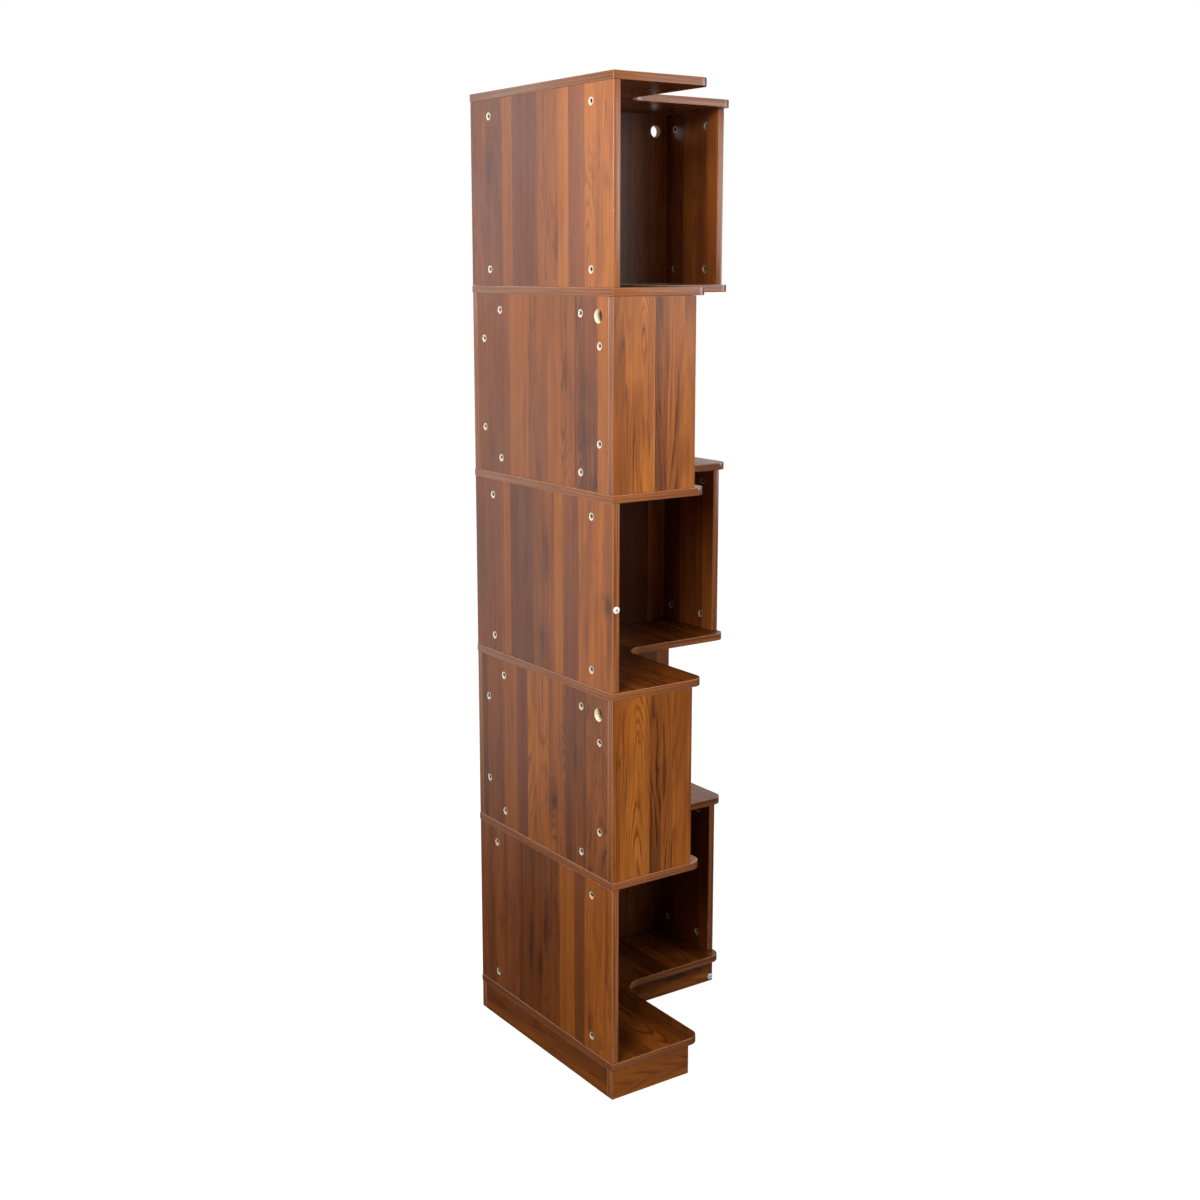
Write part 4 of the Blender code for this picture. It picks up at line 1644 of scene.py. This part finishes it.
@dataclass
class Shelves:
    """The six L-shaped boards.

    The edge band's wall sides, darker by painted shade, begin wall_from wing lengths along the outline,
    and each shelf's print starts sheet_step planks further along the printed sheet.
    """

    names: tuple[str, ...] = ("base_shelf", "shelf_2", "shelf_3", "shelf_4", "shelf_5", "top_shelf")
    # painted shade: each shelf's edge band darkened by its own factor, most on the base and top shelves
    painted_band_shades: tuple[float, ...] = (0.78, 0.92, 0.92, 0.94, 0.92, 0.80)
    # the print's tone on each shelf, partly painted shade: lowered on the base, third and fifth shelves
    print_tones_and_shade: tuple[float, ...] = (-0.17, 0.06, -0.13, 0.10, -0.18, 0.0)
    sheet_step: int = 3
    first_seed: float = 40.0
    seed_step: float = 1.7
    shift_step: float = 0.61
    rings: float = 20.0
    roughness: float = 0.17
    wall_from: float = 1.95
    arris_strength: float = 0.45
    end_steps: int = 20
    crook_steps: int = 28

    def outline(self) -> Outline:
        """Gives the L: square at the walls, rounded at both front corners, with a fillet in its crook."""
        length, depth, ease = SIZES.wing_length, SIZES.wing_depth, SIZES.corner_ease
        crook = length - depth
        return Outline.rounded([
            (0.0, 0.0, ease, EASE_STEPS),
            (depth, 0.0, SIZES.end_radius, self.end_steps),
            (depth, crook, SIZES.inner_radius, self.crook_steps),
            (length, crook, SIZES.end_radius, self.end_steps),
            (length, length, ease, EASE_STEPS),
            (0.0, length, ease, EASE_STEPS),
        ])

    def build(self, finishes: Finishes) -> None:
        """Builds the shelves.

        Args:
            finishes: the shared finishes.
        """
        for level, name in enumerate(self.names):
            height = SIZES.shelf_underside(level) + SIZES.board / 2.0
            place = Matrix.Translation(LEFT.point(SIZES.wing_length, 0.0, height))
            laminate = WalnutLaminate(
                name=f"walnut_{name}",
                planks=planks(turned_about(SHELF_PLANKS, level * self.sheet_step), self.print_tones_and_shade[level]),
                seed=self.first_seed + level * self.seed_step,
                shift=level * self.shift_step,
                rings=self.rings,
                roughness=self.roughness,
            )
            band = EdgeBand(
                name=f"edge_band_{name}",
                profile=Board.profile_length(SIZES.board),
                shade=self.painted_band_shades[level],
                wall_shade_from=SIZES.wing_length * self.wall_from,
                arris_strength=self.arris_strength,
            )
            board = Board(name, self.outline(), SIZES.board, place)
            keep_board(board, laminate, band.material(finishes.shop), finishes)


@dataclass
class Plinth:
    """Six boards on edge under the base shelf, with the grain along them."""

    # painted shade and light: the wall boards' print is darker, the front and end boards' lighter
    shaded_wall_tone: float = -0.07
    lit_front_and_end_tone: float = 0.10
    first_seed: float = 70.0
    seed_step: float = 2.9
    shift_by_seed: float = 0.31

    def build(self, finishes: Finishes) -> None:
        """Builds the boards.

        Args:
            finishes: the shared finishes.
        """
        half = SIZES.board / 2.0
        front = SIZES.panel_front()
        end = SIZES.end_inner()
        until = end - SIZES.gap
        seed = self.first_seed
        for wing in (LEFT, RIGHT):
            wall_start = SIZES.past_corner() if wing is LEFT else SIZES.reveal
            front_start = front + SIZES.gap if wing is LEFT else front - SIZES.board
            boards = (
                ("wall", wing.point(wall_start, SIZES.reveal + half, 0.0), wing.along, until - wall_start),
                ("front", wing.point(front_start, front - half, 0.0), wing.along, until - front_start),
                ("end", wing.point(end + half, SIZES.reveal, 0.0), wing.out, front - SIZES.reveal),
            )
            for side, origin, across, length in boards:
                node = f"{wing.name}_{side}_plinth"
                outline = Outline.rectangle(length, SIZES.plinth_height - SIZES.gap, SIZES.corner_ease)
                laminate = WalnutLaminate(
                    name=f"walnut_{node}",
                    planks=planks(PLINTH_PLANKS, self.shaded_wall_tone if side == "wall" else self.lit_front_and_end_tone),
                    seed=seed,
                    shift=seed * self.shift_by_seed,
                )
                board = Board(node, outline, SIZES.board, standing(origin, across), Grain.LENGTHWISE)
                keep_board(board, laminate, finishes.shaded_side_band, finishes)
                seed += self.seed_step


@dataclass
class Glides:
    """The two white glides on the front edges of two boards."""

    panel_height: float = 0.160
    plinth_height: float = 0.011

    def build(self, finishes: Finishes) -> None:
        """Builds and places both.

        Args:
            finishes: the shared finishes.
        """
        end = SIZES.wing_length - SIZES.reveal
        middle = SIZES.board / 2.0
        on_panel = LEFT.point(end + SIZES.gap, SIZES.reveal + middle, SIZES.shelf_top(2) + self.panel_height)
        on_plinth = RIGHT.point(end - middle, SIZES.panel_front() + SIZES.gap, self.plinth_height)
        for node, spot in (("panel_edge_glide", on_panel), ("plinth_edge_glide", on_plinth)):
            place = Matrix.Translation(spot) @ Matrix.Rotation(RIGHT_ANGLE, 4, "X")
            keep(Glide().build(f"{node}_cap", place, finishes.plastic), "white_plastic", node)


# The room that it is seen in


@dataclass(frozen=True)
class Lamp:
    """A square softbox.

    It stands bearing degrees round to the left from straight in front, at a distance from the
    bookcase's middle and at a height, and faces the height aim on the middle line. Gloss says
    whether it shows in reflections.
    """

    name: str
    bearing: float
    distance: float
    height: float
    aim: float
    size: float
    watts: float
    gloss: bool = True

    def build(self) -> None:
        """Makes the lamp."""
        data = bpy.data.lights.new(self.name, "AREA")
        data.shape = "SQUARE"
        data.size = self.size
        data.energy = self.watts
        made = bpy.data.objects.new(self.name, data)
        turn = math.radians(self.bearing)
        made.location = (-math.sin(turn) * self.distance, -math.cos(turn) * self.distance, self.height)
        made.rotation_euler = (UP * self.aim - made.location).to_track_quat("-Z", "Y").to_euler()
        made.visible_glossy = self.gloss
        bpy.context.scene.collection.objects.link(made)


@dataclass
class Studio:
    """A pale floor, soft lights and the camera."""

    camera_place: Triple = (-1.9016, -2.5992, 1.6100)
    camera_pitch: float = 79.4225
    camera_heading: float = -34.6284
    sensor: float = 36.0
    lens: float = 47.5796
    shift: float = -0.03
    reach: float = 100.0
    floor_radius: float = 14.0
    floor_points: int = 96
    floor_drop: float = 0.0002
    floor_colour: Triple = (0.30, 0.30, 0.30)
    mirrored_floor_colour: Triple = (0.05, 0.05, 0.05)
    room_light: float = 0.02
    lamps: tuple[Lamp, ...] = (
        Lamp("left_softbox", 55.0, 3.0, 2.2, 1.0, 1.2, 103.0),
        Lamp("high_left_softbox", 60.0, 1.5, 3.0, 1.0, 1.0, 16.0),
        Lamp("right_softbox", -62.0, 3.0, 1.7, 1.0, 1.6, 36.0),
        Lamp("near_front_softbox", -33.0, 1.5, 1.85, 1.7, 0.9, 5.0),
        Lamp("rear_left_softbox", 145.0, 3.0, 2.2, 1.0, 1.2, 3.0),
        Lamp("rear_softbox", -115.0, 3.0, 2.6, 1.0, 1.2, 50.0, False),
    )

    def camera(self) -> None:
        """Makes the camera at the photograph's viewing angle."""
        data = bpy.data.cameras.new("viewpoint")
        data.sensor_width = self.sensor
        data.lens = self.lens
        data.shift_y = self.shift
        data.clip_end = self.reach
        made = bpy.data.objects.new("viewpoint", data)
        made.location = self.camera_place
        made.rotation_euler = (math.radians(self.camera_pitch), 0.0, math.radians(self.camera_heading))
        bpy.context.scene.collection.objects.link(made)
        bpy.context.scene.camera = made

    def floor(self) -> None:
        """Makes the floor: a pale disc that camera rays see white, where the object's shadow stays."""
        turn = np.linspace(0.0, FULL_TURN, self.floor_points, endpoint=False)
        height = np.full(self.floor_points, -self.floor_drop)
        x, y = self.floor_radius * np.cos(turn), self.floor_radius * np.sin(turn)
        points = np.stack([x, y, height], axis=1)
        mesh = bpy.data.meshes.new("studio_floor")
        mesh.from_pydata(points.tolist(), [], [list(range(self.floor_points))])
        made = bpy.data.objects.new("studio_floor", mesh)
        bpy.context.scene.collection.objects.link(made)
        material, sheet, shader = new_material("pale_floor")
        path = sheet.node("LightPath").outputs
        length = sheet.node("VectorMath", operation="LENGTH")
        sheet.fill(length, sheet.where())
        far = length.outputs["Value"]
        mirrored = path["Is Glossy Ray"]
        seen = sheet.math("MAXIMUM", mirrored, path["Is Transmission Ray"])
        white = sheet.plus(sheet.step(far, 0.7, 3.0, 0.0, 0.75), sheet.step(far, 3.5, 7.0, 0.0, 0.25))
        reflected = sheet.times(sheet.times(seen, white), self.white_behind(sheet))
        direct = sheet.times(path["Is Camera Ray"], sheet.step(far, 1.5, 6.0, 0.90, 1.0))
        for label, value in {
            "Base Color": sheet.blend(mirrored, self.floor_colour, self.mirrored_floor_colour),
            "Roughness": 0.9,
            "Specular IOR Level": 0.0,
            "Emission Color": (1.0, 1.0, 1.0, 1.0),
            "Emission Strength": sheet.math("MAXIMUM", direct, reflected),
        }.items():
            sheet.feed(shader.inputs[label], value)
        mesh.materials.append(material)

    def world(self) -> None:
        """Makes the surroundings: white to camera, glossy and transmission rays, else nearly dark."""
        world = bpy.data.worlds.new("studio")
        bpy.context.scene.world = world
        world.use_nodes = True
        sheet = NodeSheet(world.node_tree)
        path = sheet.node("LightPath").outputs
        mirrored = sheet.times(path["Is Glossy Ray"], self.white_behind(sheet))
        seen = sheet.math("MAXIMUM", path["Is Camera Ray"], path["Is Transmission Ray"])
        strength = sheet.math("MAXIMUM", sheet.math("MAXIMUM", seen, mirrored), self.room_light)
        sheet.fill(world.node_tree.nodes["Background"], (1.0, 1.0, 1.0, 1.0), strength)

    def white_behind(self, sheet: NodeSheet) -> NodeSocket:
        """Gives how white the room looks in a reflection: white behind the bookcase, nearly dark before it.

        Args:
            sheet: the sheet of the floor's or the world's tree.

        Returns:
            The brightness: a smooth step of the direction's y, less on the right than on the left.
        """
        direction = sheet.node("VectorMath", operation="NORMALIZE")
        sheet.fill(direction, sheet.where())
        x, y, _ = sheet.parts(direction.outputs[0])
        return sheet.step(y, 0.1, 0.7, 0.03, sheet.step(x, -0.2, 0.3, 1.0, 0.64))

    def build(self) -> None:
        """Sets up the whole room."""
        self.camera()
        self.floor()
        self.world()
        for lamp in self.lamps:
            lamp.build()
        bpy.context.scene.view_settings.view_transform = "Standard"


def main() -> None:
    """Builds the bookcase in its order of assembly and logs each piece."""
    logging.basicConfig(level=logging.INFO, format="%(name)s %(message)s")
    Studio().build()
    finishes = Finishes.make()
    Plinth().build(finishes)
    Shelves().build(finishes)
    for number in range(1, SIZES.tiers + 1):
        Tier(number).build(finishes)
    Glides().build(finishes)


if __name__ == "__main__":
    main()
